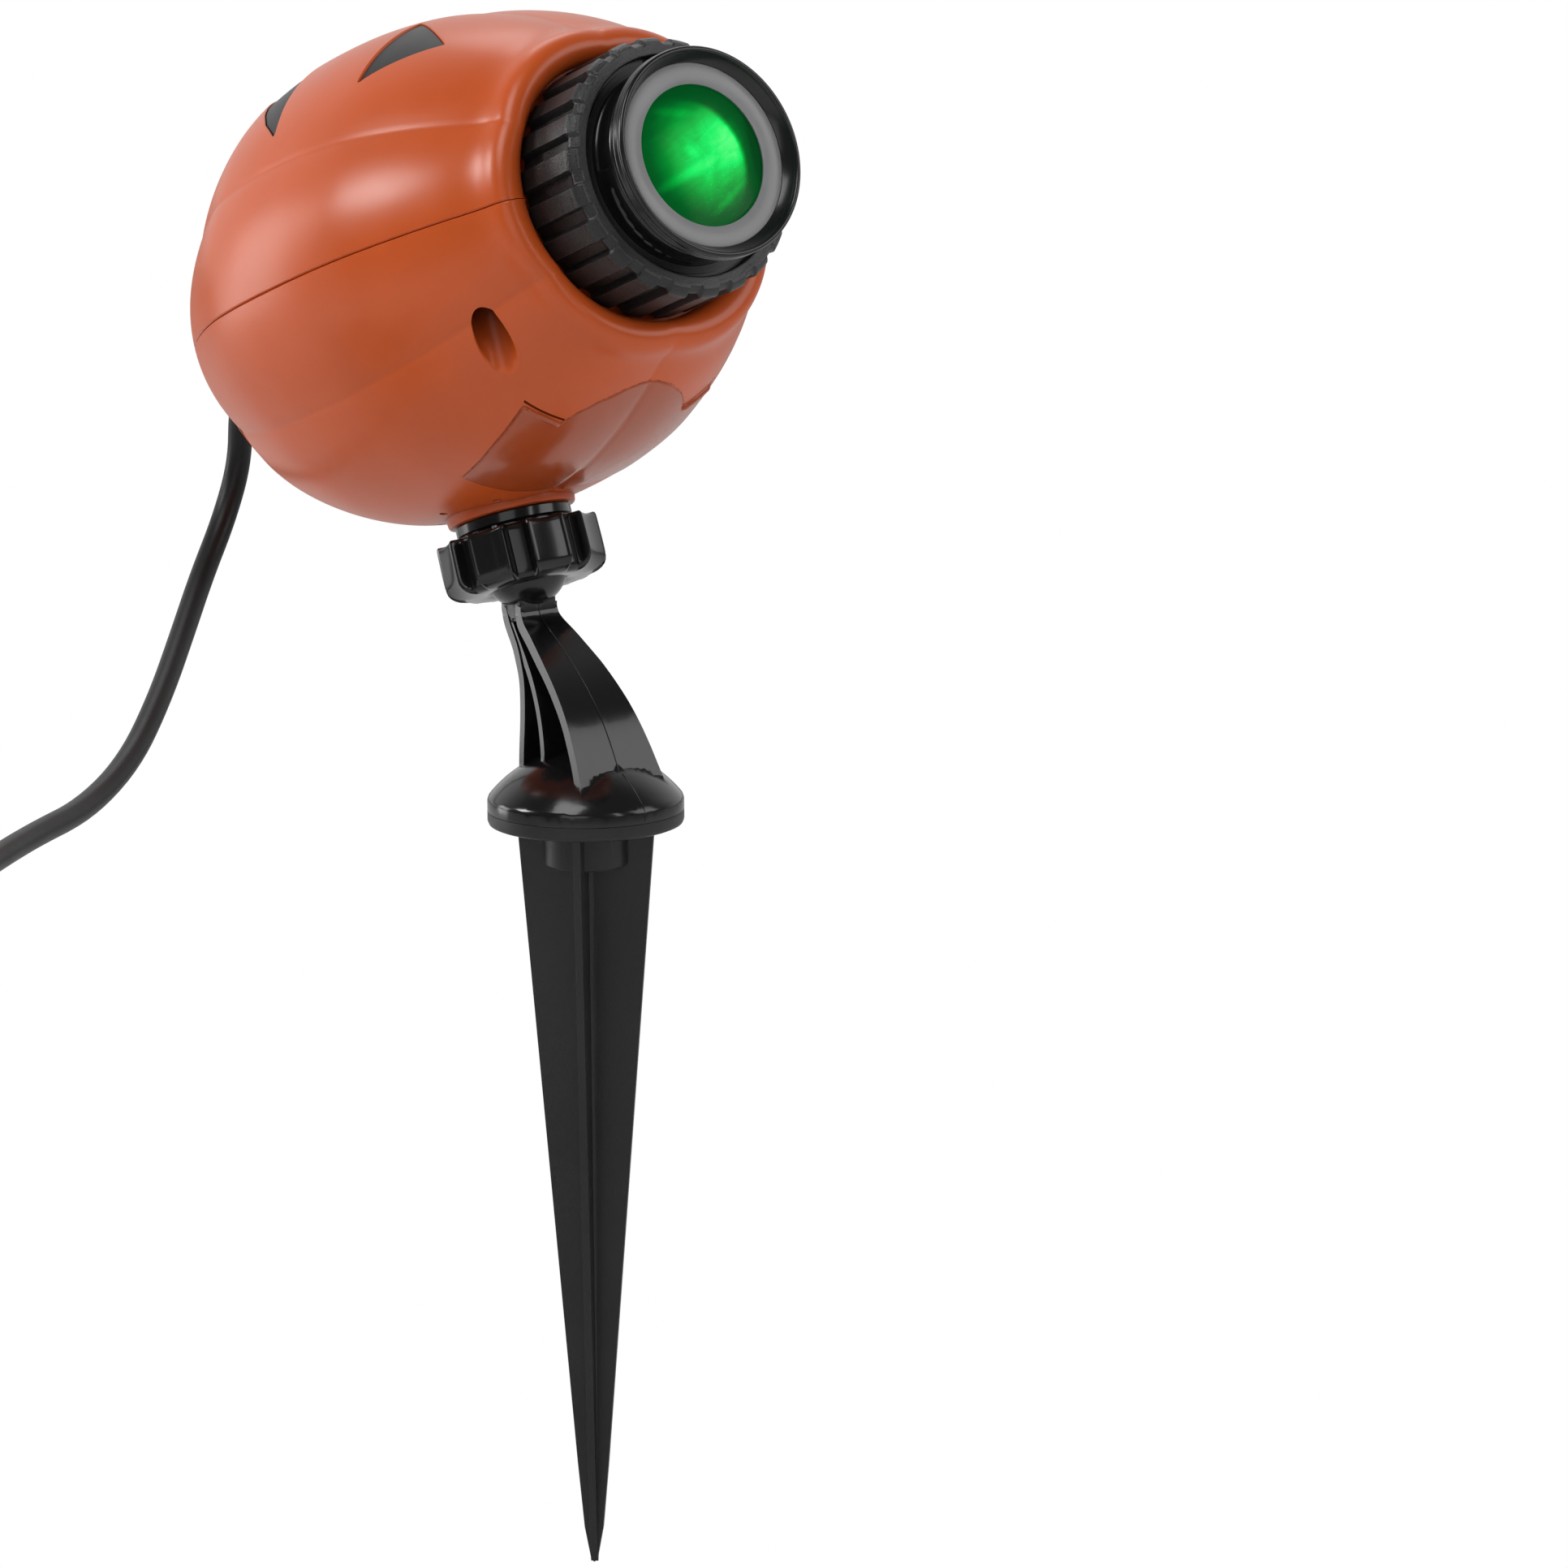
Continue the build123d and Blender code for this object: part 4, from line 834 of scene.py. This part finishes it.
# upper shell with its face openings
shell = half_solid("upper_shell", True)
cuts = []
for nm, pts in FACES.items():
    poly = round_corners(pts, 0.55, 0.9)
    cuts.append(column("cut", poly, [(95.0, 0, 0.36), (None, -0.10, 0.36), (None, 0.05, 0.22), (None, 0.26, 0.02), (None, 0.55, 0.0), (15.0, 0, 0.0)], 1))
boolean(shell, join(cuts, "cuts"), "DIFFERENCE")
put(shell, "head", "orange", ["top_shell"], 33)
for nm, pts in FACES.items():
    poly = round_corners(pts, 0.45, 0.9)
    skin = half_solid("face_" + nm, True, drop=0.50, thick=1.6, chamfer=0.01, gap=0.6)
    boolean(skin, column("cut", poly, [(95.0, 0, -0.38), (None, 0.30, -0.38), (None, 0.52, -0.34), (None, 0.80, -0.10), (15.0, 0, -0.10)], 1), "INTERSECT")
    put(skin, "head", "black_face", [nm], 33)

# lower shell: posts round the screws, pad under the socket, openings
low = half_solid("lower_shell", False)


def ring_points(x, y, r, n=40):
    return np.array([(x + r * math.cos(2 * math.pi * k / n), y + r * math.sin(2 * math.pi * k / n)) for k in range(n)])


posts = []
for x, y in SCREWS:
    posts.append(column("post", ring_points(x, y, 6.1), [(-6.0, 0, 0.0), (None, 1.6, 0.0)], -1))
pad = turned("pad", [(-56.0, 0.02), (-63.5, 0.02), (-63.5, 15.9), (-63.35, 16.3), (-63.0, 16.55), (-61.8, 16.7), (-60.0, 17.0), (-56.0, 17.2)], 96,
             about="z", cx=0.0, cy=SOCKET_Y)
posts.append(pad)
boolean(low, join(posts, "posts"), "UNION")
cuts = []
for x, y in SCREWS:
    cuts.append(column("cut", ring_points(x, y, 4.45, 56), [(-95.0, 0, 0.55), (None, -0.5, 0.55), (None, -0.04, 0.38), (None, 0.16, 0.18), (None, 0.4, 0.06), (None, 0.9, 0.0),
                                                          (-10.0, 0, 0.0)], -1))
poly = round_corners(COVER, 1.1, 0.9)
cuts.append(column("cut", poly, [(-95.0, 0, 0.26), (None, -0.10, 0.26), (None, 0.06, 0.16), (None, 0.30, 0.03), (None, 0.7, 0.0), (None, 1.1, 0.0)], -1))
for k in range(7):
    a = math.radians(20 + 360 / 7 * k)
    px, py = 19.4 * math.cos(a), SOCKET_Y + 19.4 * math.sin(a)
    cuts.append(column("cut", ring_points(px, py, 1.0, 20), [(-95.0, 0, 0.3), (None, -0.2, 0.3), (None, 0.25, 0.0), (None, 1.1, -0.1)], -1))
for sx in (-1, 1):
    # shadow gap in front of each notch
    gap_ = [(sx * (29.9 + (18.6 - 29.9) * t), -55.75 + 0.75 * t) for t in (0.0, 0.25, 0.5, 0.75, 1.0)]
    gap_ += [(x, y - 0.75) for x, y in reversed(gap_)]
    cuts.append(column("cut", np.array(gap_ if sx < 0 else gap_[::-1]), [(-95.0, 0, 0.0), (None, -0.3, 0.0), (None, 0.9, 0.0)], -1))
boolean(low, join(cuts, "cuts"), "DIFFERENCE")
put(low, "head", "orange", ["bottom_shell"], 33)

# glossy cover, with a raised lip along each notch
skin = half_solid("cover_plate", False, drop=-0.22, thick=3.2, chamfer=0.01, gap=0.6)
poly = round_corners(COVER, 1.0, 0.9)
boolean(skin, column("cut", poly, [(-95.0, 0, -0.34), (None, -0.4, -0.34), (None, -0.19, -0.29), (None, -0.06, -0.16), (None, 0.22, -0.07), (None, 0.6, -0.05), (None, 1.0, -0.05)], -1), "INTERSECT")
lips = []
for sx in (-1, 1):
    line = [(sx * (29.0 + (18.9 - 29.0) * t), -54.6 + 0.75 * t - 0.55 * math.sin(math.pi * t)) for t in np.linspace(0, 1, 26)]
    xs, ys = np.array([p[0] for p in line]), np.array([p[1] for p in line])
    zz = z_of(xs, ys + 0.6, 0.2, -1)
    c = to_world(np.stack([xs, ys + 0.6, zz], 1))
    rad = 0.95 * np.sqrt(np.clip(np.sin(math.pi * np.linspace(0.03, 0.97, 26)) * 2.6, 0, 1))
    t_, _ = tube("lip", c, 0.9, 16, list(rad * 1.08))
    lips.append(t_)
cover = join([skin] + lips, "cover_plate")
put(cover, "head", "orange_gloss", ["bottom_cover"], 22)


# ------------------------------------------------------------------ cord gland
def gland_line(s):
    return np.interp(-s, [70.5, 85.0, 88.0], [17.0, 8.4, 7.2])


def gland_half(top):
    sgn = 1 if top else -1
    gl = lambda s: float(gland_line(s))
    parts = [turned("g", [(-69.5, 0.02), (-69.5, 9.2), (-84.0, 6.3), (-84.0, 0.02)], 72),
             turned("g", [(-82.7, 0.02), (-82.7, 9.55), (-83.2, 9.8), (-84.4, 9.1), (-87.2, 7.7), (-87.8, 7.3), (-88.0, 6.7), (-88.0, 0.02)], 96)]
    for s, w in ((-73.6, 0.7), (-78.4, 0.7)):
        parts.append(turned("g", [(s + w, 0.02), (s + w, gl(s + w) - 0.2), (s + w * 0.6, gl(s + w * 0.6)), (s - w * 0.6, gl(s - w * 0.6)),
                                  (s - w, gl(s - w) - 0.2), (s - w, 0.02)], 96))
    parts.append(turned("g", [(-69.6, 16.3), (-71.0, 16.45), (-71.25, 16.75), (-71.2, 17.3), (-70.9, 17.75), (-69.6, 18.2)], 96))
    parts.append(prism("g", [(-69.6, 0.0), (-69.6, 17.0), (-71.2, 17.0), (-83.6, 9.6), (-83.6, 0.0)][::-1], "x", -0.95, 0.95)
                 if top else prism("g", [(-69.6, 0.0), (-69.6, -17.0), (-71.2, -17.0), (-83.6, -9.6), (-83.6, 0.0)], "x", -0.95, 0.95))
    side = [(17.3, 69.6), (17.3, 71.2), (9.9, 83.4), (-9.9, 83.4), (-17.3, 71.2), (-17.3, 69.6)]
    parts.append(prism("g", side, "z", -0.5 if top else -1.5, 1.5 if top else 0.5))
    for ang in (48, 132):
        a = math.radians(ang) * sgn
        ca, sa = math.cos(a), math.sin(a)
        v = []
        stem = [(-69.6, 6.0), (-69.6, gl(-70.6) - 0.6), (-71.5, gl(-71.5) - 0.5), (-82.9, gl(-82.9) - 0.4), (-82.9, 4.0)]
        for w in (-1.0, 1.0):
            for s, rho in stem:
                v.append((rho * ca - w * sa, -s, rho * sa + w * ca))
        n = len(stem)
        f = [(i, (i + 1) % n, n + (i + 1) % n, n + i) for i in range(n)] + [tuple(range(n)), tuple(range(n, 2 * n))]
        parts.append(mesh_obj("g", v, f))
        rings = []
        ph = np.arange(40) * 2 * math.pi / 40
        for rho, q in ((5.5, 2.7), (gl(-73.4) - 0.9, 2.7), (gl(-73.4) - 0.55, 2.55), (gl(-73.4) - 0.4, 2.2)):
            s_ = -74.0 + q * np.cos(ph)
            w_ = q * 1.25 * np.sin(ph)
            extra = (gland_line(s_) - gl(-74.0)) if rho > 6 else 0 * s_
            rr = rho + extra
            rings.append(np.stack([rr * ca - w_ * sa, -s_, rr * sa + w_ * ca], 1))
        parts.append(loops("g", rings, closed_path=False, cap=True))
    g = parts[0]
    g.name = "gland_upper" if top else "gland_lower"
    for p in parts[1:]:
        boolean(g, p, "UNION")
    zlo, zhi = (0.07, 30.0) if top else (-30.0, -0.07)
    box = [(-40.0, 60.0), (40.0, 60.0), (40.0, 95.0), (-40.0, 95.0)]
    boolean(g, prism("g", box, "z", zlo, zhi), "INTERSECT")
    boolean(g, turned("g", [(-60.0, 0.02), (-60.0, 3.32), (-87.2, 3.32), (-88.6, 4.1), (-88.6, 0.02)], 64), "DIFFERENCE")
    put(g, "head", "orange", (), 30)


gland_half(True)
gland_half(False)


# ------------------------------------------------------------------ focus ring
LANDS = 22
ring_rows = [(78.0, 27.4, 27.4), (78.0, 30.3, 30.3), (78.25, 30.75, 30.9), (78.7, 30.9, 31.5), (79.2, 30.9, 32.5), (79.8, 30.9, 32.95), (81.0, 30.9, 33.0)]
ring_rows += [(s, 30.9, 33.0) for s in np.linspace(83.0, 97.0, 8)]
ring_rows += [(98.0, 30.95, 33.05), (98.7, 31.15, 33.15), (99.2, 31.6, 33.2), (99.6, 31.95, 33.2), (100.0, 32.1, 33.15), (100.5, 32.0, 32.95),
              (101.0, 31.7, 32.65), (101.5, 31.3, 32.2), (101.9, 31.0, 31.8), (102.2, 30.7, 31.45), (102.35, 30.35, 31.1), (102.32, 30.1, 30.6),
              (102.25, 29.8, 29.9), (102.2, 29.1, 29.1), (102.2, 28.55, 28.55), (102.05, 28.3, 28.3), (101.6, 28.15, 28.15), (99.0, 28.1, 28.1),
              (98.6, 27.4, 27.4)]


def land(phi, r):
    u = np.mod(phi / (2 * math.pi) * LANDS, 1.0) - 0.5
    pitch = 2 * math.pi * 32.0 / LANDS
    d = np.abs(u) * pitch
    return 1 - smooth((d - 2.5) / 0.55)


rings = []
ph = np.arange(22 * 26) * 2 * math.pi / (22 * 26)
for s, g_, l_ in ring_rows:
    rad = g_ + (l_ - g_) * land(ph, 32)
    rings.append(np.stack([rad * np.cos(ph), np.full(len(ph), -s), rad * np.sin(ph)], 1))
ring = loops("knurled_focus_ring", rings)
put(ring, "focus", "black_textured", ["focus_ring"], 50)
# the ring's flat front face is rougher and paler than its sides
ring.data.materials.append(M["ring_front"])
ax = np.array(to_world([(0, -1, 0)])[0]) - np.array(to_world([(0, 0, 0)])[0])
ax = Vector(tuple(ax / np.linalg.norm(ax)))
ring.data.polygons.foreach_set("material_index", [1 if p_.normal.dot(ax) > 0.9 else 0 for p_ in ring.data.polygons])

# ------------------------------------------------------------------ lens barrel
barrel_path = [(64.0, 22.7), (64.0, 24.9)] + [(s, 25.0) for s in np.concatenate([np.linspace(66, 98, 5), np.linspace(99.5, 107.2, 20)])]
rim_line = spline([(107.7, 24.9), (108.1, 24.55), (108.6, 24.4), (109.2, 24.45), (109.7, 24.9), (110.1, 25.7), (110.5, 26.35), (111.0, 26.75),
                   (111.8, 26.9), (112.6, 26.75), (113.2, 26.7), (113.8, 26.85), (114.3, 26.85), (114.7, 26.6), (114.9, 26.2), (114.85, 25.8),
                   (114.5, 25.5), (113.8, 25.15)], 0.16)
barrel_path += [(float(a_), float(b_)) for a_, b_ in rim_line] + [(111.7, 23.75), (111.45, 23.5), (110.25, 23.5), (110.25, 22.7)]


def barrel_fn(i, phi, s, r):
    rad = np.full(len(phi), float(r))
    if 99.0 <= s <= 107.3 and r > 24.9:
        deg = np.degrees(phi)
        # shallow recess that ends in a step, and a helical groove that runs out
        rec = smooth((s - 101.2) / 0.5) * (1 - smooth((s - 106.6) / 0.5))
        sect = smooth((deg - 118.0) / 1.2) * (1 - smooth((deg - 178.5) / 1.2))
        rad -= 0.55 * rec * sect
        for a0, a1, s0, s1 in ((188.0, 262.0, 104.8, 101.2), (20.0, 92.0, 104.8, 101.2)):
            t = (deg - a0) / (a1 - a0)
            line = s0 + (s1 - s0) * t
            w = smooth(1 - np.abs(s - line) / 0.75)
            ends = smooth(t / 0.05) * smooth((1 - t) / 0.05)
            rad -= 0.5 * w * ends
    return rad


barrel = turned("lens_barrel_tube", barrel_path, 300, fn=barrel_fn)
put(barrel, "barrel", "black_gloss", ["lens_barrel"], 40, "barrel_gloss")
grey = turned("grey_front_ring", [(110.32, 18.3), (110.6, 18.12), (110.95, 18.1), (111.05, 18.25), (111.3, 21.0), (111.42, 23.2), (111.3, 23.42), (110.32, 23.42)], 128)
put(grey, "barrel", "grey_ring", ["lens_retaining_ring"], 35)


# ------------------------------------------------------------------ clamp nut
def make_nut():
    n = 480
    phi = np.arange(n) * 2 * math.pi / n
    d = np.mod(phi - math.radians(31.5) + math.pi / 8, math.pi / 4) - math.pi / 8
    rings = []

    def lobe(out_r, core, z):
        lat = np.abs(21.0 * np.sin(d))
        k = 1 - smooth((lat - 4.9) / 1.0)
        dish = 0.75 * (1 - np.clip(lat / 4.6, 0, 1) ** 2)
        rim = 0.10 * smooth(1 - np.abs(lat - 4.6) / 0.6)
        return core + (out_r - core - dish + rim) * k, k, lat

    rows = []
    for z, out_r, core in ((-82.3, 14.6, 14.2), (-82.25, 15.6, 15.6), (-82.1, 17.0, 16.4), (-81.7, 18.3, 17.0), (-81.1, 19.4, 17.4), (-80.3, 20.3, 17.6),
                           (-79.4, 20.85, 17.7), (-78.4, 21.1, 17.7), (-77.2, 21.15, 17.7), (-75.0, 21.15, 17.7), (-72.0, 21.1, 17.7),
                           (-69.5, 21.05, 17.7), (-68.4, 21.0, 17.7), (-67.9, 20.85, 17.5), (-67.6, 20.5, 17.2)):
        rows.append((z, out_r, core))
    for z, out_r, core in rows:
        rad, k, lat = lobe(out_r, core, z)
        dip = 0.55 * k * (1 - np.clip(lat / 4.9, 0, 1) ** 2) * float(smooth(np.array((z + 70.5) / 2.5)))
        rings.append(np.stack([rad * np.cos(phi), SOCKET_Y + rad * np.sin(phi), np.full(n, z) - dip], 1))
    for z, r in ((-67.55, 16.4), (-67.9, 14.2), (-67.9, 13.5), (-69.0, 13.45), (-78.0, 13.45), (-78.2, 12.4), (-80.6, 10.3), (-81.4, 9.85), (-81.8, 10.0), (-82.2, 11.0), (-82.3, 12.5)):
        rings.append(np.stack([r * np.cos(phi), SOCKET_Y + r * np.sin(phi), np.full(n, z)], 1))
    ob = loops("lobed_clamp_nut", rings)
    put(ob, "nut", "black_gloss", ["clamp_nut"], 42)


make_nut()

# ------------------------------------------------------------------ mould line on the bracket
ARM_FRONT = [(54.0, 18.9), (52.0, 18.8), (50.4, 17.8), (48.0, 14.7), (44.0, 9.4), (40.0, 4.4), (36.0, 0.0), (32.0, -3.8),
             (28.0, -7.0), (24.0, -9.6), (20.0, -11.9), (16.0, -13.9), (14.6, -14.6)]
arm = spline([(z, y) for z, y in ARM_FRONT], 1.2)
R_DOME = (25.0 ** 2 + 12.3 ** 2) / (2 * 12.3)
dome = [(6.9 + 12.3 - R_DOME + R_DOME * math.cos(math.asin(min(1, q / R_DOME))), -q) for q in np.linspace(15.6, 24.6, 9)]
line = [(0.0, y, z) for z, y in arm] + [(0.0, y, z) for z, y in dome] + [(0.0, -25.0, 6.0), (0.0, -25.0, 4.2)]
seam, _ = tube("bracket_mould_line", line, 0.16, 8)
put(seam, "bracket", "black_gloss", (), 60)

# ------------------------------------------------------------------ carried-over CAD nodes
SLOTS = {
    "ground_stake": "black_satin", "bracket": "black_gloss", "ball_socket": "black_gloss", "housing_screws": "steel", "socket_screws": "steel",
    "guide_tube": "black_satin", "ring_retainer": "black_satin", "front_lens": "green_glass", "lens_spacer": "black_satin", "rear_lens": "clear_glass",
    "rear_lens_ring": "black_satin", "lamp_tube": "black_satin", "slide_holder": "black_satin", "pattern_slide": "slide_glass",
    "condenser_holder": "black_satin", "condenser_lens": "clear_glass", "led_board": "circuit_board", "green_led": "led_green",
    "heat_sink": "aluminium", "heat_sink_screws": "steel", "driver_board": "circuit_board", "driver_components": "component",
    "board_screws": "steel", "cord_clamp": "black_satin", "clamp_screws": "steel", "cord_inner_end": "cord", "lead_wires": "brass", "led_wires": "brass",
}
for nm, sl in SLOTS.items():
    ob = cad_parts[nm]
    ob.data.materials.clear()
    ob.data.materials.append(M[sl])
    ob.data.polygons.foreach_set("material_index", [0] * len(ob.data.polygons))
for nm, w in (("ground_stake", 0.35), ("bracket", 0.32), ("ball_socket", 0.25)):
    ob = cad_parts[nm]
    wd = ob.modifiers.new("weld", "WELD")
    wd.merge_threshold = 0.00001
    bv = ob.modifiers.new("edges", "BEVEL")
    bv.width = w * MM
    bv.segments = 3
    bv.limit_method = "ANGLE"
    bv.angle_limit = math.radians(38)
    bv.harden_normals = False
    sm = ob.modifiers.new("normals", "WEIGHTED_NORMAL")
    sm.keep_sharp = False


# ------------------------------------------------------------------ stage and light
def stage_material(name, v):
    m = bpy.data.materials.new(name)
    m.use_nodes = True
    nd, ln = links(m.node_tree)
    nd.clear()
    out = nd.new("ShaderNodeOutputMaterial")
    d = nd.new("ShaderNodeBsdfDiffuse")
    d.inputs["Color"].default_value = (v, v, v, 1)
    e = nd.new("ShaderNodeEmission")
    e.inputs["Strength"].default_value = 1.0
    path = nd.new("ShaderNodeLightPath")
    mix = nd.new("ShaderNodeMixShader")
    ln.new(path.outputs["Is Camera Ray"], mix.inputs[0])
    ln.new(d.outputs[0], mix.inputs[1])
    ln.new(e.outputs[0], mix.inputs[2])
    ln.new(mix.outputs[0], out.inputs[0])
    return m


FLOOR_Z = -195.3
g = 6000.0
floor = mesh_obj("stage_floor", [(-g, -g, FLOOR_Z), (g, -g, FLOOR_Z), (g, g, FLOOR_Z), (-g, g, FLOOR_Z)], [(0, 1, 2, 3)], head=False, recalc=False)
floor.data.materials.append(stage_material("stage_floor", 0.86))
pl = np.array([(-278.0, -2.0), (-152.0, -2.0), (-152.0, 164.0), (-278.0, 164.0)])
pp = round_corners([tuple(q) for q in pl], 12.0, 6.0)
n = len(pp)
v = [(x, y, -0.02) for x, y in pp] + [(x, y, FLOOR_Z) for x, y in pp]
plinth = mesh_obj("stage_block", v, [tuple(range(n)), tuple(range(n, 2 * n))] + [(i, (i + 1) % n, n + (i + 1) % n, n + i) for i in range(n)], head=False)
plinth.data.materials.append(stage_material("stage_block", 0.86))

world = bpy.data.worlds.new("world")
SC.world = world
world.use_nodes = True
wn, wl = links(world.node_tree)
wn.clear()
wo = wn.new("ShaderNodeOutputWorld")
seen = wn.new("ShaderNodeBackground")
seen.inputs["Color"].default_value = (1, 1, 1, 1)
seen.inputs["Strength"].default_value = 1.0
room = wn.new("ShaderNodeBackground")
room.inputs["Color"].default_value = (1, 1, 1, 1)
wtc = wn.new("ShaderNodeTexCoord")
dot = wn.new("ShaderNodeVectorMath")
dot.operation = "DOT_PRODUCT"
dot.inputs[1].default_value = (0.598, 0.801, 0.0)
wl.new(wtc.outputs["Generated"], dot.inputs[0])
rm = wn.new("ShaderNodeMapRange")
rm.interpolation_type = "SMOOTHSTEP"
rm.inputs["From Min"].default_value, rm.inputs["From Max"].default_value = 0.1, 0.75
rm.inputs["To Min"].default_value, rm.inputs["To Max"].default_value = 0.12, 0.80
wl.new(dot.outputs["Value"], rm.inputs["Value"])
wl.new(rm.outputs[0], room.inputs["Strength"])
lp = wn.new("ShaderNodeLightPath")
wm = wn.new("ShaderNodeMixShader")
wl.new(lp.outputs["Is Camera Ray"], wm.inputs[0])
wl.new(room.outputs[0], wm.inputs[1])
wl.new(seen.outputs[0], wm.inputs[2])
wl.new(wm.outputs[0], wo.inputs[0])


def area(name, loc, target, size, radiance, size_y=None, color=(1, 1, 1)):
    d = bpy.data.lights.new(name, "AREA")
    d.shape = "RECTANGLE"
    d.size, d.size_y = size, size_y or size
    d.energy = radiance * math.pi * d.size * d.size_y
    d.color = color
    o = bpy.data.objects.new(name, d)
    o.location = loc
    o.rotation_mode = "QUATERNION"
    o.rotation_quaternion = (Vector(target) - Vector(loc)).to_track_quat("-Z", "Y")
    SC.collection.objects.link(o)
    return o


def at(az, el, dist, c=(0.0, 0.03, 0.10)):
    a, e = math.radians(az), math.radians(el)
    return (c[0] + dist * math.sin(a) * math.cos(e), c[1] - dist * math.cos(a) * math.cos(e), c[2] + dist * math.sin(e))


area("key_box", at(-122, 28, 1.5), (0, 0.03, 0.13), 0.42, 15.0, 0.34)
area("left_back", at(-149, 0, 1.5), (0, 0.03, 0.10), 0.5, 3.6, 0.9)
area("top_box", at(-70, 60, 1.5), (0, 0.03, 0.13), 0.7, 4.4)
area("right_box", at(40, 23, 1.6), (0, 0.03, 0.08), 0.85, 2.3, 0.92)
area("nut_strip", at(2, 20, 1.5), (0, 0.03, 0.08), 0.16, 3.4, 0.9)
area("front_fill", at(-50, 12, 1.7), (0, 0.03, 0.08), 0.9, 1.1)
area("rear_top", at(150, 50, 1.4), (0, 0.05, 0.1), 0.6, 2.0)

SC.frame_set(1)
